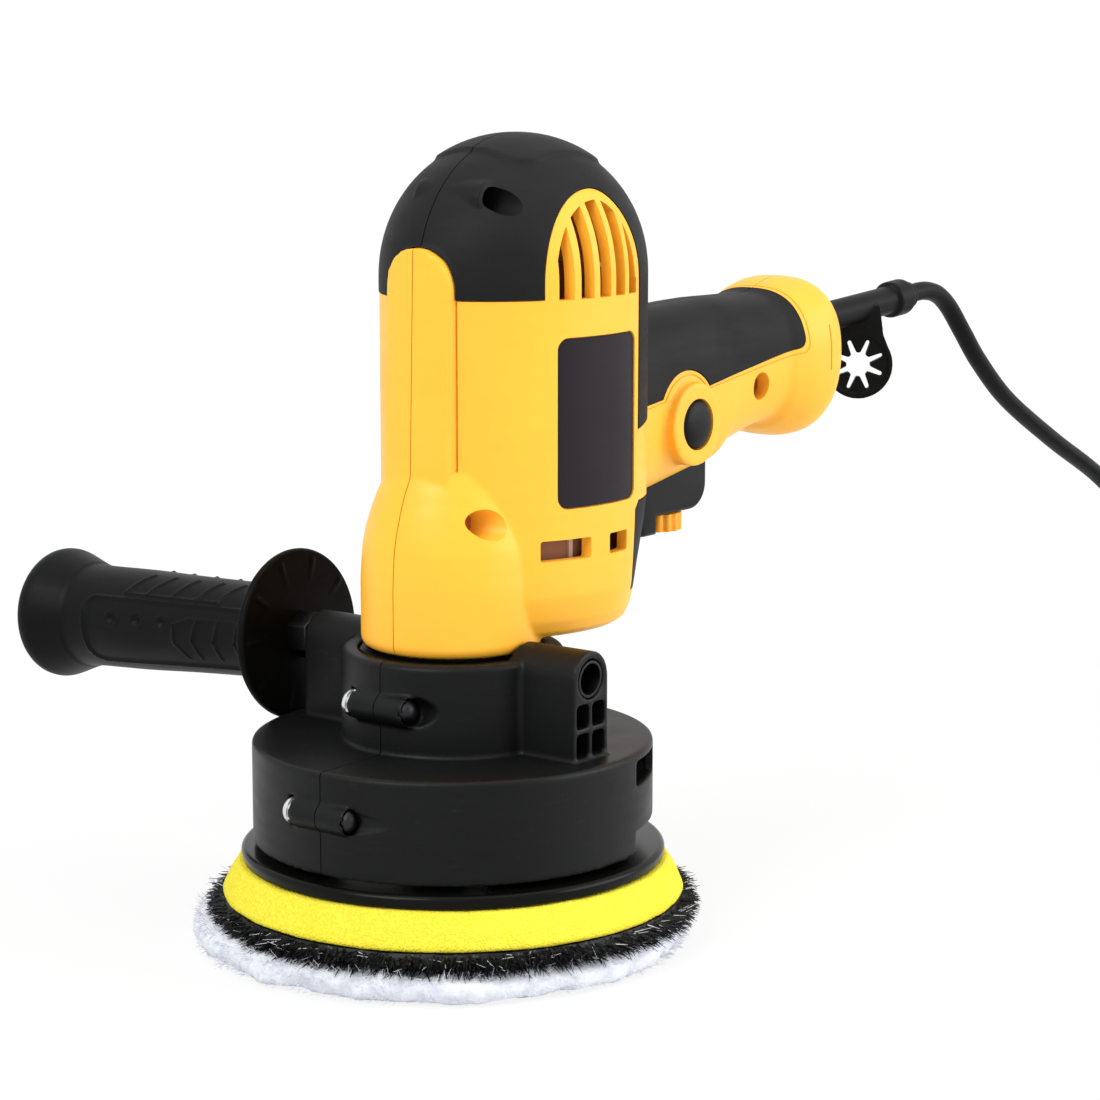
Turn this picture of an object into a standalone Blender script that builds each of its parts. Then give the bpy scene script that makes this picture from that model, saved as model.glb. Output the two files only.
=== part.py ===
"""Corded rotary polisher in metres.

The pad's working face lies on z = 0 and the spindle turns about the Z axis. The grip and its
cord run towards +X, the side handle towards +Y, and the housing parts along the plane y = 0.
"""

import math
import random

import bmesh
import bpy
from mathutils import Matrix, Vector

# Clearances
GAP = 0.0003
RUNNING_GAP = 0.0004
SEAM = 0.0003
WELD = 0.000003

# Pad stack
WOOL_RADIUS = 0.0672
WOOL_THICK = 0.0078
HOOK_RADIUS = 0.0630
HOOK_THICK = 0.0043
STRAND_LENGTH = 0.0038
STRAND_COLUMNS = 76
STRAND_ROWS = 2
FOAM_LOWER_RADIUS = 0.0625
FOAM_UPPER_RADIUS = 0.0586
FOAM_THICK = 0.0095
PAD_HOLE_RADIUS = 0.0110
PLATE_RADIUS = 0.0575
PLATE_THICK = 0.0037
PLATE_HUB_RADIUS = 0.0130
PLATE_HUB_HEIGHT = 0.0105
PLATE_RIBS = 6
PLATE_RIB_THICK = 0.0020
PLATE_RIB_HEIGHT = 0.0030
PAD_BOLT_RADIUS = 0.0040
PAD_BOLT_HEAD_RADIUS = 0.0065
PAD_BOLT_HEAD_HEIGHT = 0.0050
PAD_BOLT_GRIP = 0.0140

# Shroud
DRUM_RADIUS = 0.0542
DRUM_HEIGHT = 0.0274
DRUM_CLEARANCE = 0.0016
SHROUD_WALL = 0.0027
COLLAR_RADIUS = 0.0300
COLLAR_HEIGHT = 0.0248
SHROUD_EDGE = 0.0010
SHROUD_SIDES = 30
BOSS_HALF_WIDTH = 0.0074
BOSS_REACH = 0.0468
BOSS_BORE_RISE = 0.0214
BOSS_POCKET_WALL = 0.0014
BOSS_POCKET_DEPTH = 0.0100
INSERT_RADIUS = 0.0050
INSERT_LENGTH = 0.0140
CLAMP_RADIUS = 0.0044
CLAMP_HALF_LENGTH = 0.0100
CLAMP_SCREW_RADIUS = 0.0018
CLAMP_HEAD_RADIUS = 0.0033
CLAMP_HEAD_LENGTH = 0.0026
NUT_RADIUS = 0.0036
NUT_LENGTH = 0.0026
DRIVER_ACCESS = 0.0110
DRUM_CLAMP_RISE = 0.0155
COLLAR_CLAMP_RISE = 0.0125
WINDOW_START = math.radians(-77)
WINDOW_END = math.radians(-56)
WINDOW_HEIGHT = 0.0064
SKIRT_CUT_END = math.radians(-28)
SKIRT_CUT_HEIGHT = 0.0105

# Motor housing
MOTOR_X = 0.0275
BODY_HALF_LENGTH = 0.0405
BODY_HALF_WIDTH = 0.0335
BODY_BOTTOM = 0.0840
BODY_FILLET = 0.0090
DOME_START = 0.1780
BODY_TOP = 0.2165
DOME_POWER = 2.05
CROWN_STEP = 0.0010
CROWN_SHARE = 0.64
BODY_SIDES = 26
GRIP_SIDES = 14
SPINE_SIDES = 24
HIDDEN_SIDES = 18
HIDDEN_GRIP_SIDES = 12
HOUSING_WALL = 0.0032
SKIN = 0.0016
SPINE_HALF_WIDTH = 0.0116
SPINE_TOP = 0.1876
SPINE_FOOT = 0.1000
SPINE_FRONT = -0.0162
SPINE_BACK = 0.0060
SPINE_CURVE = 0.0270
SPINE_LEAN = 0.028
SPINE_ROUND = 0.0022
NOSE_RADIUS = 0.0245
NOSE_BOTTOM = 0.0806
NOSE_SHOULDER = 0.1090
NOSE_BLEND_TOP = 0.1270
NOSE_BLEND_RADIUS = 0.0174

# Grip: distance along X, lowest and highest point, half width
GRIP_SECTIONS = (
    (0.0360, 0.1096, 0.1628, 0.0180),
    (0.0620, 0.1102, 0.1634, 0.0180),
    (0.0985, 0.1158, 0.1652, 0.0172),
    (0.1085, 0.1172, 0.1656, 0.0170),
    (0.1135, 0.1210, 0.1657, 0.0170),
    (0.1345, 0.1258, 0.1656, 0.0174),
    (0.1405, 0.1232, 0.1662, 0.0190),
    (0.1470, 0.1210, 0.1684, 0.0210),
    (0.1545, 0.1206, 0.1698, 0.0219),
    (0.1600, 0.1214, 0.1690, 0.0210),
    (0.1646, 0.1246, 0.1656, 0.0182),
    (0.1676, 0.1305, 0.1595, 0.0138),
)
GRIP_POWER = 2.6
GRIP_END_START = 0.1545

# Dark soft cover, as seen from the side
CAP_EDGE = 0.1740
VENT_X = 0.0232
VENT_HALF_WIDTH = 0.0182
VENT_SPRING = 0.1780
VENT_RISE = 0.0240
COVER_REAR_X = 0.0412
COVER_LOW_Z = 0.1365
COVER_NOTCH_RADIUS = 0.0142
COVER_END_X = 0.1432
COVER_END_Z = 0.1487
COVER_CORNER = 0.0030
TAIL_X = 0.0490
TAIL_LOW_Z = 0.0920
TAIL_HIGH_Z = 0.1122

# Vents and plate on the housing
VENT_SLOTS = 5
VENT_SLOT_WIDTH = 0.0036
VENT_SLOT_STEP = 0.0066
VENT_MARGIN = 0.0042
VENT_DEPTH = 0.0200
LOW_VENTS = ((0.0035, 0.0185), (0.0260, 0.0345))
LOW_VENT_Z = 0.1076
LOW_VENT_HEIGHT = 0.0056
LABEL_X = (0.0085, 0.0385)
LABEL_Z = (0.1187, 0.1637)
LABEL_CORNER = 0.0030
LABEL_THICK = 0.0009

# Screws that hold the housing halves: x, z and how far from y = 0 the head sits and the tip ends
HOUSING_SCREWS = {
    "housing_screw_top": (0.0008, 0.1996, 0.0070, 0.0032),
    "housing_screw_nose": (-0.0120, 0.1158, 0.0110, 0.0060),
    "housing_screw_grip": (0.1232, 0.1392, 0.0105, 0.0060),
}
SCREW_RADIUS = 0.0019
SCREW_HEAD_RADIUS = 0.0034
SCREW_HEAD_LENGTH = 0.0024
SCREW_WELL_RADIUS = 0.0041
SCREW_BOSS_RADIUS = 0.0052

# Controls
LOCK_X = 0.0858
LOCK_Z = 0.1322
LOCK_RADIUS = 0.0070
LOCK_FACE_Y = -0.0217
LOCK_LENGTH = 0.0062
LOCK_BOSS_RADIUS = 0.0118
LOCK_BOSS_Y = -0.0205
LOCK_BOSS_ROOT_Y = -0.0135
LOCK_BORE_END_Y = -0.0100
TRIGGER_X = (0.0740, 0.1058)
TRIGGER_HALF_WIDTH = 0.0090
TRIGGER_BOTTOM = 0.1000
TRIGGER_STEP_X = 0.0825
TRIGGER_STEP_Z = 0.1056
TRIGGER_TRAVEL = 0.0070
DIAL_X = 0.0933
DIAL_RADIUS = 0.0080
DIAL_RIBS = 16
DIAL_HEIGHT = 0.0052
DIAL_STEM_RADIUS = 0.0025
SWITCH_Y = (-0.0102, 0.0126)
SWITCH_Z = 0.1296
SWITCH_HEIGHT = 0.0180

# Cord and its sleeve
SLEEVE_START = (0.1600, 0.0, 0.1518)
SLEEVE_END = (0.2325, 0.0, 0.1567)
SLEEVE_RADIUS = 0.0048
SLEEVE_TIP_RADIUS = 0.0044
SLEEVE_COLLAR_RADIUS = 0.0058
SLEEVE_COLLAR_LENGTH = 0.0095
SLEEVE_FLANGE_RADIUS = 0.0072
SLEEVE_FLANGE_LENGTH = 0.0030
TAB_X = 0.2034
TAB_Z = 0.1370
TAB_RADIUS = 0.0108
TAB_NECK_HALF_WIDTH = 0.0065
TAB_THICK = 0.0040
TAB_TURN = math.radians(-52)
STAR_ARMS = 8
STAR_RADIUS = 0.0082
STAR_CORE_RADIUS = 0.0045
STAR_ARM_HALF_WIDTH = 0.0010
CORD_DIAMETER = 0.0060
CORD_ROUTE = (
    (0.2330, 0.0, 0.1568),
    (0.2425, 0.0, 0.1573),
    (0.2512, 0.0, 0.1555),
    (0.2590, 0.0, 0.1506),
    (0.2684, 0.0, 0.1415),
    (0.2800, 0.0, 0.1304),
    (0.2996, 0.0, 0.1158),
    (0.3326, 0.0, 0.0983),
    (0.3680, 0.0, 0.0810),
    (0.4020, 0.0, 0.0590),
    (0.4290, 0.0, 0.0370),
    (0.4530, 0.0, 0.0190),
    (0.4760, 0.0, 0.0085),
    (0.5000, 0.0, 0.0046),
)
CORD_POINT_STEP = 0.0170
COIL_LAYERS = 2
COIL_TURNS = 2.8
COIL_MIDDLE_RADIUS = 0.0418
COIL_PITCH = 0.0065
COIL_LAYER_RISE = 0.0065
COIL_POINTS_A_TURN = 22
TIE_WIDTH = 0.0050
TIE_THICK = 0.0008
TIE_CORNER = 0.0032
TIE_ANGLE = math.radians(15)
PLUG_BODY_LENGTH = 0.0330
PLUG_HALF_WIDTH = 0.0165
PLUG_HALF_THICK = 0.0104
PLUG_BOOT_LENGTH = 0.0140
PLUG_BOOT_RADIUS = 0.0048
PLUG_PIN_RADIUS = 0.0024
PLUG_PIN_LENGTH = 0.0190
PLUG_PIN_SPACING = 0.0190

# Side handle
HANDLE_DROOP = math.radians(3.0)
GUARD_RADIUS = 0.0240
GUARD_THICK = 0.0027
GUARD_FACE = 0.0095
GUARD_HUB_RADIUS = 0.0100
GUARD_HUB_HEIGHT = 0.0030
HANDLE_NECK_RADIUS = 0.0132
HANDLE_WAIST_RADIUS = 0.0148
HANDLE_FLARE_RADIUS = 0.0190
HANDLE_LENGTH = 0.0905
HANDLE_BORE_DEPTH = 0.0300
HANDLE_FLARE_LENGTH = 0.0150
STUD_RADIUS = 0.0040
STUD_ENGAGEMENT = 0.0120
STUD_HEX_RADIUS = 0.0068
STUD_HEX_LENGTH = 0.0080

# Gear train and spindle
MODULE = 0.0010
SPINDLE_TEETH = 36
IDLER_PINION_TEETH = 9
IDLER_TEETH = 24
ARMATURE_TEETH = 8
GEAR_BACKLASH = 0.00012
SPINDLE_GEAR_Z = (0.0915, 0.0980)
IDLER_PINION_Z = (0.0912, 0.0993)
IDLER_GEAR_Z = (0.0995, 0.1040)
ARMATURE_PINION_Z = (0.0990, 0.1045)
SPINDLE_RADIUS = 0.0060
SPINDLE_COLLAR_RADIUS = 0.0080
SPINDLE_TOP_RADIUS = 0.0040
SPINDLE_TOP = 0.1096
SPINDLE_BEARING = (0.0160, SPINDLE_RADIUS, 0.0100)
SPINDLE_BEARING_Z = 0.0585
BUSH_RADIUS = 0.0060
IDLER_SHAFT_RADIUS = 0.0030
CASE_NECK_RADIUS = 0.0250
CASE_UPPER_RADIUS = 0.0206
CASE_BOTTOM = 0.0530
CASE_FLOOR_Z = (0.0876, 0.0906)
CASE_EAR_RADIUS = 0.0070
BEARING_PLATE_Z = (0.1046, 0.1100)
BEARING_PLATE_RADIUS = 0.0198
BEARING_PLATE_MOTOR_RADIUS = 0.0150

# Motor
SHAFT_RADIUS = 0.0040
SHAFT_TOP = 0.1960
MOTOR_BEARING = (0.0110, SHAFT_RADIUS, 0.0070)
MOTOR_BEARING_LOW_Z = 0.1050
MOTOR_BEARING_HIGH_Z = 0.1870
CORE_RADIUS = 0.0158
CORE_Z = (0.1250, 0.1630)
CORE_SLOTS = 8
COMMUTATOR_RADIUS = 0.0110
COMMUTATOR_Z = (0.1710, 0.1830)
FAN_RADIUS = 0.0240
FAN_Z = (0.1134, 0.1190)
FAN_BLADES = 6
FAN_HUB_RADIUS = 0.0080
FAN_BLADE_THICK = 0.0014
STATOR_RADIUS = 0.0270
STATOR_BORE = 0.0164
STATOR_WINDOW = 0.0226
STATOR_Z = (0.1240, 0.1640)
POLE_HALF_ANGLE = math.radians(60)
COIL_END = 0.0040
FIELD_COIL_BAR = math.radians(16)
BRUSH_SIZE = (0.0050, 0.0130, 0.0080)
BRUSH_HOLDER_WALL = 0.0015
BRUSH_Z = 0.1770
RIB_THICK = 0.0050

# Levels that follow from the sizes above
HOOK_Z = WOOL_THICK + GAP
FOAM_Z = HOOK_Z + HOOK_THICK + GAP
PLATE_Z = FOAM_Z + FOAM_THICK + GAP
DRUM_Z = PLATE_Z + PLATE_THICK + DRUM_CLEARANCE
DRUM_TOP = DRUM_Z + DRUM_HEIGHT
COLLAR_TOP = DRUM_TOP + COLLAR_HEIGHT
BOSS_BORE_Z = DRUM_TOP + BOSS_BORE_RISE
PLATE_HUB_TOP = PLATE_Z + PLATE_HUB_HEIGHT
GEAR_CENTRES = MODULE * (SPINDLE_TEETH + IDLER_PINION_TEETH) / 2
MOTOR_CENTRES = MODULE * (IDLER_TEETH + ARMATURE_TEETH) / 2
IDLER_X = (GEAR_CENTRES**2 + MOTOR_X**2 - MOTOR_CENTRES**2) / (2 * MOTOR_X)
IDLER_Y = math.sqrt(GEAR_CENTRES**2 - IDLER_X**2)
COIL_Z = CORD_ROUTE[-1][2]
FAR = 0.3

# Colour, roughness, metallic
FINISHES = {
    "yellow_plastic": ((0.95, 0.62, 0.05), 0.38, 0.0),
    "soft_black": ((0.030, 0.030, 0.032), 0.62, 0.0),
    "black_plastic": ((0.022, 0.023, 0.024), 0.45, 0.0),
    "gloss_black": ((0.012, 0.012, 0.013), 0.18, 0.0),
    "label_grey": ((0.047, 0.036, 0.045), 0.40, 0.0),
    "orange_plastic": ((0.95, 0.45, 0.03), 0.40, 0.0),
    "rubber": ((0.018, 0.018, 0.019), 0.70, 0.0),
    "steel": ((0.55, 0.55, 0.56), 0.30, 1.0),
    "bright_steel": ((0.75, 0.75, 0.76), 0.20, 1.0),
    "aluminium": ((0.62, 0.62, 0.63), 0.45, 1.0),
    "bronze": ((0.50, 0.32, 0.12), 0.40, 1.0),
    "copper": ((0.60, 0.26, 0.12), 0.40, 1.0),
    "carbon": ((0.03, 0.03, 0.03), 0.80, 0.0),
    "foam": ((0.98, 0.85, 0.06), 0.85, 0.0),
    "hook_fibre": ((0.020, 0.020, 0.022), 0.80, 0.0),
    "wool": ((0.80, 0.80, 0.88), 0.95, 0.0),
}


# Helpers

def new_object(name, mesh):
    obj = bpy.data.objects.new(name, mesh)
    bpy.context.scene.collection.objects.link(obj)
    return obj


def from_bmesh(name, bm):
    bmesh.ops.recalc_face_normals(bm, faces=bm.faces)
    mesh = bpy.data.meshes.new(name)
    bm.to_mesh(mesh)
    bm.free()
    return new_object(name, mesh)


def remove(obj):
    mesh = obj.data
    bpy.data.objects.remove(obj)
    if mesh.users == 0:
        getattr(bpy.data, "meshes" if isinstance(mesh, bpy.types.Mesh) else "curves").remove(mesh)


def applied(obj):
    """The object with its modifiers or curve settings turned into a closed mesh."""
    graph = bpy.context.evaluated_depsgraph_get()
    mesh = bpy.data.meshes.new_from_object(obj.evaluated_get(graph))
    bm = bmesh.new()
    bm.from_mesh(mesh)
    bmesh.ops.remove_doubles(bm, verts=bm.verts, dist=1e-6)
    bm.transform(obj.matrix_world)
    name = obj.name
    remove(obj)
    bpy.data.meshes.remove(mesh)
    return from_bmesh(name, bm)


def combine(target, others, operation):
    """Cuts, joins or intersects the target with each of the others, which are used up."""
    for other in others:
        modifier = target.modifiers.new("combine", "BOOLEAN")
        modifier.operation = operation
        modifier.solver = "EXACT"
        modifier.use_self = True
        modifier.object = other
        bpy.context.view_layer.update()
        graph = bpy.context.evaluated_depsgraph_get()
        mesh = bpy.data.meshes.new_from_object(target.evaluated_get(graph))
        target.modifiers.clear()
        old = target.data
        target.data = mesh
        bpy.data.meshes.remove(old)
        remove(other)
        weld(mesh)
    return target


def weld(mesh):
    """Merges the points that a cut leaves closer than a few microns."""
    bm = bmesh.new()
    bm.from_mesh(mesh)
    bmesh.ops.remove_doubles(bm, verts=bm.verts, dist=WELD)
    bmesh.ops.dissolve_degenerate(bm, edges=bm.edges, dist=WELD)
    bm.to_mesh(mesh)
    bm.free()


def cut(target, *others):
    return combine(target, others, "DIFFERENCE")


def join(target, *others):
    return combine(target, others, "UNION")


def keep(target, *others):
    return combine(target, others, "INTERSECT")


def copy(obj, name):
    return new_object(name, obj.data.copy())


def move(obj, matrix):
    obj.data.transform(matrix)
    return obj


def box(name, low, high):
    bm = bmesh.new()
    bmesh.ops.create_cube(bm, size=1)
    low, high = Vector(low), Vector(high)
    size = high - low
    bmesh.ops.scale(bm, vec=size, verts=bm.verts)
    bmesh.ops.translate(bm, vec=(low + high) / 2, verts=bm.verts)
    return from_bmesh(name, bm)


def rod(name, start, end, radius, sides=24, end_radius=None):
    """A cylinder or cone between two points."""
    start, end = Vector(start), Vector(end)
    bm = bmesh.new()
    bmesh.ops.create_cone(
        bm,
        cap_ends=True,
        segments=sides,
        radius1=radius,
        radius2=radius if end_radius is None else end_radius,
        depth=(end - start).length,
    )
    turn = Vector((0, 0, 1)).rotation_difference(end - start).to_matrix().to_4x4()
    bm.transform(Matrix.Translation((start + end) / 2) @ turn)
    return from_bmesh(name, bm)


def turned(name, profile, steps=48, ring=False):
    """A profile of radius and height turned about Z. A ring's profile is closed on itself."""
    mesh = bpy.data.meshes.new(name)
    points = [(radius, 0, height) for radius, height in profile]
    edges = [(i, i + 1) for i in range(len(points) - 1)]
    if ring:
        edges.append((len(points) - 1, 0))
    mesh.from_pydata(points, edges, [])
    obj = new_object(name, mesh)
    screw = obj.modifiers.new("turn", "SCREW")
    screw.steps = screw.render_steps = steps
    screw.use_merge_vertices = True
    screw.merge_threshold = 1e-5
    return applied(obj)


def plate(name, outlines, low, high):
    """Flat outlines in X and Y, the later ones holes, drawn out from low to high along Z."""
    curve = bpy.data.curves.new(name, "CURVE")
    curve.dimensions = "2D"
    curve.fill_mode = "BOTH"
    curve.extrude = (high - low) / 2
    for outline in outlines:
        spline = curve.splines.new("POLY")
        spline.points.add(len(outline) - 1)
        for point, place in zip(spline.points, outline):
            point.co = (place[0], place[1], 0, 1)
        spline.use_cyclic_u = True
    obj = new_object(name, curve)
    obj.location.z = (high + low) / 2
    bpy.context.view_layer.update()
    return applied(obj)


# Turns a plate drawn in X and Y so that it is seen from -Y as X and Z, or from -X as Y and Z
TO_SIDE = Matrix(((1, 0, 0, 0), (0, 0, -1, 0), (0, 1, 0, 0), (0, 0, 0, 1)))
TO_FRONT = Matrix(((0, 0, 1, 0), (1, 0, 0, 0), (0, 1, 0, 0), (0, 0, 0, 1)))


def side_plate(name, outlines, near_y, far_y):
    return move(plate(name, outlines, -far_y, -near_y), TO_SIDE)


def loft(name, rings):
    """A closed skin through rings of as many points each, with flat ends."""
    bm = bmesh.new()
    rows = [[bm.verts.new(point) for point in ring] for ring in rings]
    count = len(rows[0])
    for low, high in zip(rows, rows[1:]):
        for i in range(count):
            j = (i + 1) % count
            bm.faces.new((low[i], low[j], high[j], high[i]))
    bm.faces.new(rows[0])
    bm.faces.new(rows[-1])
    return from_bmesh(name, bm)


def rounded(obj, width, segments=2, angle=math.radians(40)):
    bevel = obj.modifiers.new("round", "BEVEL")
    bevel.width = width
    bevel.segments = segments
    bevel.limit_method = "ANGLE"
    bevel.angle_limit = angle
    bpy.context.view_layer.update()
    return applied(obj)


def arc(centre, radius, start, end, count):
    """Points from one angle to another. The radius may be a pair, for an ellipse."""
    radius_x, radius_y = radius if isinstance(radius, tuple) else (radius, radius)
    angles = [start + (end - start) * i / count for i in range(count + 1)]
    return [(centre[0] + radius_x * math.cos(a), centre[1] + radius_y * math.sin(a)) for a in angles]


def circle(centre, radius, count):
    return arc(centre, radius, 0, math.tau * (1 - 1 / count), count - 1)


def rounded_rectangle(low, high, radius, count=3):
    corners = (
        (high[0] - radius, high[1] - radius),
        (low[0] + radius, high[1] - radius),
        (low[0] + radius, low[1] + radius),
        (high[0] - radius, low[1] + radius),
    )
    points = []
    for i, corner in enumerate(corners):
        points += arc(corner, radius, i * math.pi / 2, (i + 1) * math.pi / 2, count)
    return points


def shrunk(outline, distance):
    """An outline that runs anticlockwise, moved inwards by a distance."""
    count = len(outline)
    points = []
    for i in range(count):
        before, here, after = (Vector(outline[(i + k) % count]) for k in (-1, 0, 1))
        first = (here - before).normalized()
        second = (after - here).normalized()
        inward = Vector((-first.y - second.y, first.x + second.x)).normalized()
        lean = max(0.5, inward.dot(Vector((-first.y, first.x))))
        points.append(tuple(here + inward * distance / lean))
    return points


def half_of(obj, side, name):
    """The half of a symmetric solid on one side of y = 0, with half the seam taken off."""
    low = SEAM / 2 if side > 0 else -FAR
    high = FAR if side > 0 else -SEAM / 2
    return keep(copy(obj, name), box("half", (-FAR, low, -FAR), (FAR * 2, high, FAR * 2)))


def tidy(mesh):
    """Merges the flat faces that the cuts have left in pieces."""
    bm = bmesh.new()
    bm.from_mesh(mesh)
    bmesh.ops.dissolve_limit(bm, angle_limit=math.radians(0.2), verts=bm.verts, edges=bm.edges)
    bm.to_mesh(mesh)
    bm.free()


def part(obj, finish, origin=(0, 0, 0)):
    """Puts a finished solid in the object's collection, with its material and its origin on its axis."""
    tidy(obj.data)
    obj.data.materials.clear()
    obj.data.materials.append(bpy.data.materials[finish])
    obj.data.shade_smooth()
    obj.data.set_sharp_from_angle(angle=math.radians(35))
    move(obj, Matrix.Translation(-Vector(origin)))
    obj.location = origin
    bpy.context.scene.collection.objects.unlink(obj)
    bpy.data.collections["rotary_polisher"].objects.link(obj)
    return obj


# Housing

def body_solid(inset):
    """The motor body. Its hidden faces take fewer rows and sides than the outer ones."""
    half_x = BODY_HALF_LENGTH - inset
    half_y = BODY_HALF_WIDTH - inset
    fillet = BODY_FILLET - inset
    hidden = inset >= SKIN
    rows = []
    for turn in (0, math.pi / 2) if hidden else (0, math.pi / 4, math.pi / 2):
        height = BODY_BOTTOM + inset + fillet * (1 - math.cos(turn))
        rows.append((height, fillet * (1 - math.sin(turn)), 1))
    rows.append((DOME_START, 0, 1))
    rise = BODY_TOP - CROWN_STEP - inset - DOME_START
    crown = (1 - CROWN_SHARE**DOME_POWER) ** (1 / DOME_POWER)
    for share in (0.45, 0.80, 0.97) if hidden else (0.28, 0.50, 0.66, crown):
        rows.append((DOME_START + rise * share, 0, (1 - share**DOME_POWER) ** (1 / DOME_POWER)))
    if not hidden:
        for share in (crown, 0.90, 0.97, 0.995):
            size = (1 - share**DOME_POWER) ** (1 / DOME_POWER) - 0.01
            rows.append((DOME_START + rise * share + CROWN_STEP, 0, size))
    rings = []
    for height, shrink, size in rows:
        edge = ((half_x - shrink) * size, (half_y - shrink) * size)
        outline = circle((MOTOR_X, 0), edge, HIDDEN_SIDES if hidden else BODY_SIDES)
        rings.append([(x, y, height) for x, y in outline])
    return loft("body", rings)


def spine_outline(grow):
    half = SPINE_HALF_WIDTH + grow
    spring = SPINE_TOP - SPINE_HALF_WIDTH
    return [(-half, SPINE_FOOT), (half, SPINE_FOOT)] + arc((0, spring), half, 0, math.pi, 8)


def spine_solid(inset):
    """The raised front spine: a tall tongue whose face is curved from side to side."""
    outline = [spine_outline(-inset)]
    spine = move(plate("spine", outline, SPINE_FRONT - SPINE_ROUND, SPINE_BACK), TO_FRONT)
    axis = SPINE_FRONT + SPINE_CURVE
    low, high = (axis, 0, SPINE_FOOT - SPINE_CURVE), (axis, 0, SPINE_TOP + SPINE_CURVE)
    spine = keep(spine, rod("face", low, high, SPINE_CURVE - inset, SPINE_SIDES))
    spine = rounded(spine, SPINE_ROUND, 2, math.radians(50))
    for vertex in spine.data.vertices:
        vertex.co.x += SPINE_LEAN * (vertex.co.z - (SPINE_TOP + NOSE_BLEND_TOP) / 2)
    return spine


def nose_solid(inset, open_end=False):
    """The round nose over the gears. With an open end it runs on below the housing."""
    radius = NOSE_RADIUS - inset
    bottom = NOSE_BOTTOM + inset
    profile = [(0, NOSE_BLEND_TOP + 0.016)]
    for share in (-0.35, 0.0, 0.35, 0.7, 1.0):
        ease = share if share < 0 else share * share * (3 - 2 * share)
        blend = NOSE_BLEND_RADIUS - inset + (NOSE_RADIUS - 0.0008 - NOSE_BLEND_RADIUS) * ease
        profile.append((blend, NOSE_BLEND_TOP + (NOSE_SHOULDER - NOSE_BLEND_TOP) * share))
    if open_end:
        bottom = NOSE_BOTTOM - 0.01
        profile.append((radius, bottom))
    else:
        profile += [(radius, bottom + 0.0022), (radius - 0.0018, bottom)]
    profile.append((0, bottom))
    return turned("nose", profile, HIDDEN_SIDES if inset >= SKIN else BODY_SIDES)


def grip_solid(inset):
    sides = HIDDEN_GRIP_SIDES if inset >= SKIN else GRIP_SIDES
    rings = []
    for x, low, high, half_width in GRIP_SECTIONS:
        middle, half_height = (low + high) / 2, (high - low) / 2 - inset
        drawn_in = inset * min(1, max(0, (x - GRIP_END_START) / (GRIP_SECTIONS[-1][0] - GRIP_END_START)))
        points = []
        for i in range(sides):
            turn = math.tau * (i + 0.5) / sides
            across, up = math.cos(turn), math.sin(turn)
            y = math.copysign(abs(across) ** (2 / GRIP_POWER), across) * (half_width - inset)
            z = math.copysign(abs(up) ** (2 / GRIP_POWER), up) * half_height
            points.append((x - drawn_in, y, middle + z))
        rings.append(points)
    return loft("grip", rings)


def housing_solid(name, inset):
    """The housing's outer form, moved inwards by a distance."""
    solid = join(body_solid(inset), nose_solid(inset), spine_solid(inset), grip_solid(inset))
    solid.name = name
    return solid


def cover_region(shrink):
    """What the dark cover takes from the housing, as a block seen from the side."""
    notch = (LOCK_X - 0.0010, LOCK_Z + 0.0010)
    outline = [(-FAR, CAP_EDGE), (VENT_X - VENT_HALF_WIDTH, CAP_EDGE)]
    outline += arc((VENT_X, VENT_SPRING), (VENT_HALF_WIDTH, VENT_RISE), math.pi, 0, 8)
    outline += [(COVER_REAR_X + 0.0003, CAP_EDGE), (COVER_REAR_X, COVER_LOW_Z)]
    outline += arc(notch, COVER_NOTCH_RADIUS, math.radians(150), math.radians(38), 5)
    corner = (COVER_END_X - COVER_CORNER, COVER_END_Z + COVER_CORNER)
    outline += arc(corner, COVER_CORNER, -math.pi / 2, 0, 3)
    outline += [(COVER_END_X - COVER_CORNER / 2, BODY_TOP), (COVER_END_X, FAR), (-FAR, FAR)]
    region = side_plate("cover_region", [shrunk(outline, shrink)], -FAR, FAR)
    spine = move(plate("spine_region", [spine_outline(shrink)], -FAR, SPINE_BACK), TO_FRONT)
    return cut(region, spine)


def tail_region(shrink):
    low = (TAIL_X + shrink, -FAR, TAIL_LOW_Z + shrink)
    return box("tail_region", low, (FAR, FAR, TAIL_HIGH_Z - shrink))


def label_outline(grow):
    low = (LABEL_X[0] - grow, LABEL_Z[0] - grow)
    high = (LABEL_X[1] + grow, LABEL_Z[1] + grow)
    return rounded_rectangle(low, high, LABEL_CORNER + grow)


def body_skin(outer, inner):
    """A thin wall that follows the motor body between two insets."""
    return cut(body_solid(outer), body_solid(inner))


def screw_bosses(form):
    bosses = []
    for x, z, _, _ in HOUSING_SCREWS.values():
        boss = rod("boss", (x, -FAR / 4, z), (x, FAR / 4, z), SCREW_BOSS_RADIUS, 12)
        bosses.append(keep(boss, copy(form, "limit")))
    return bosses


def dome_size(height):
    """The share of the body's plan that is left at a height in the dome."""
    share = max(0, (height - DOME_START) / (BODY_TOP - CROWN_STEP - DOME_START))
    return (1 - share**DOME_POWER) ** (1 / DOME_POWER)


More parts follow.
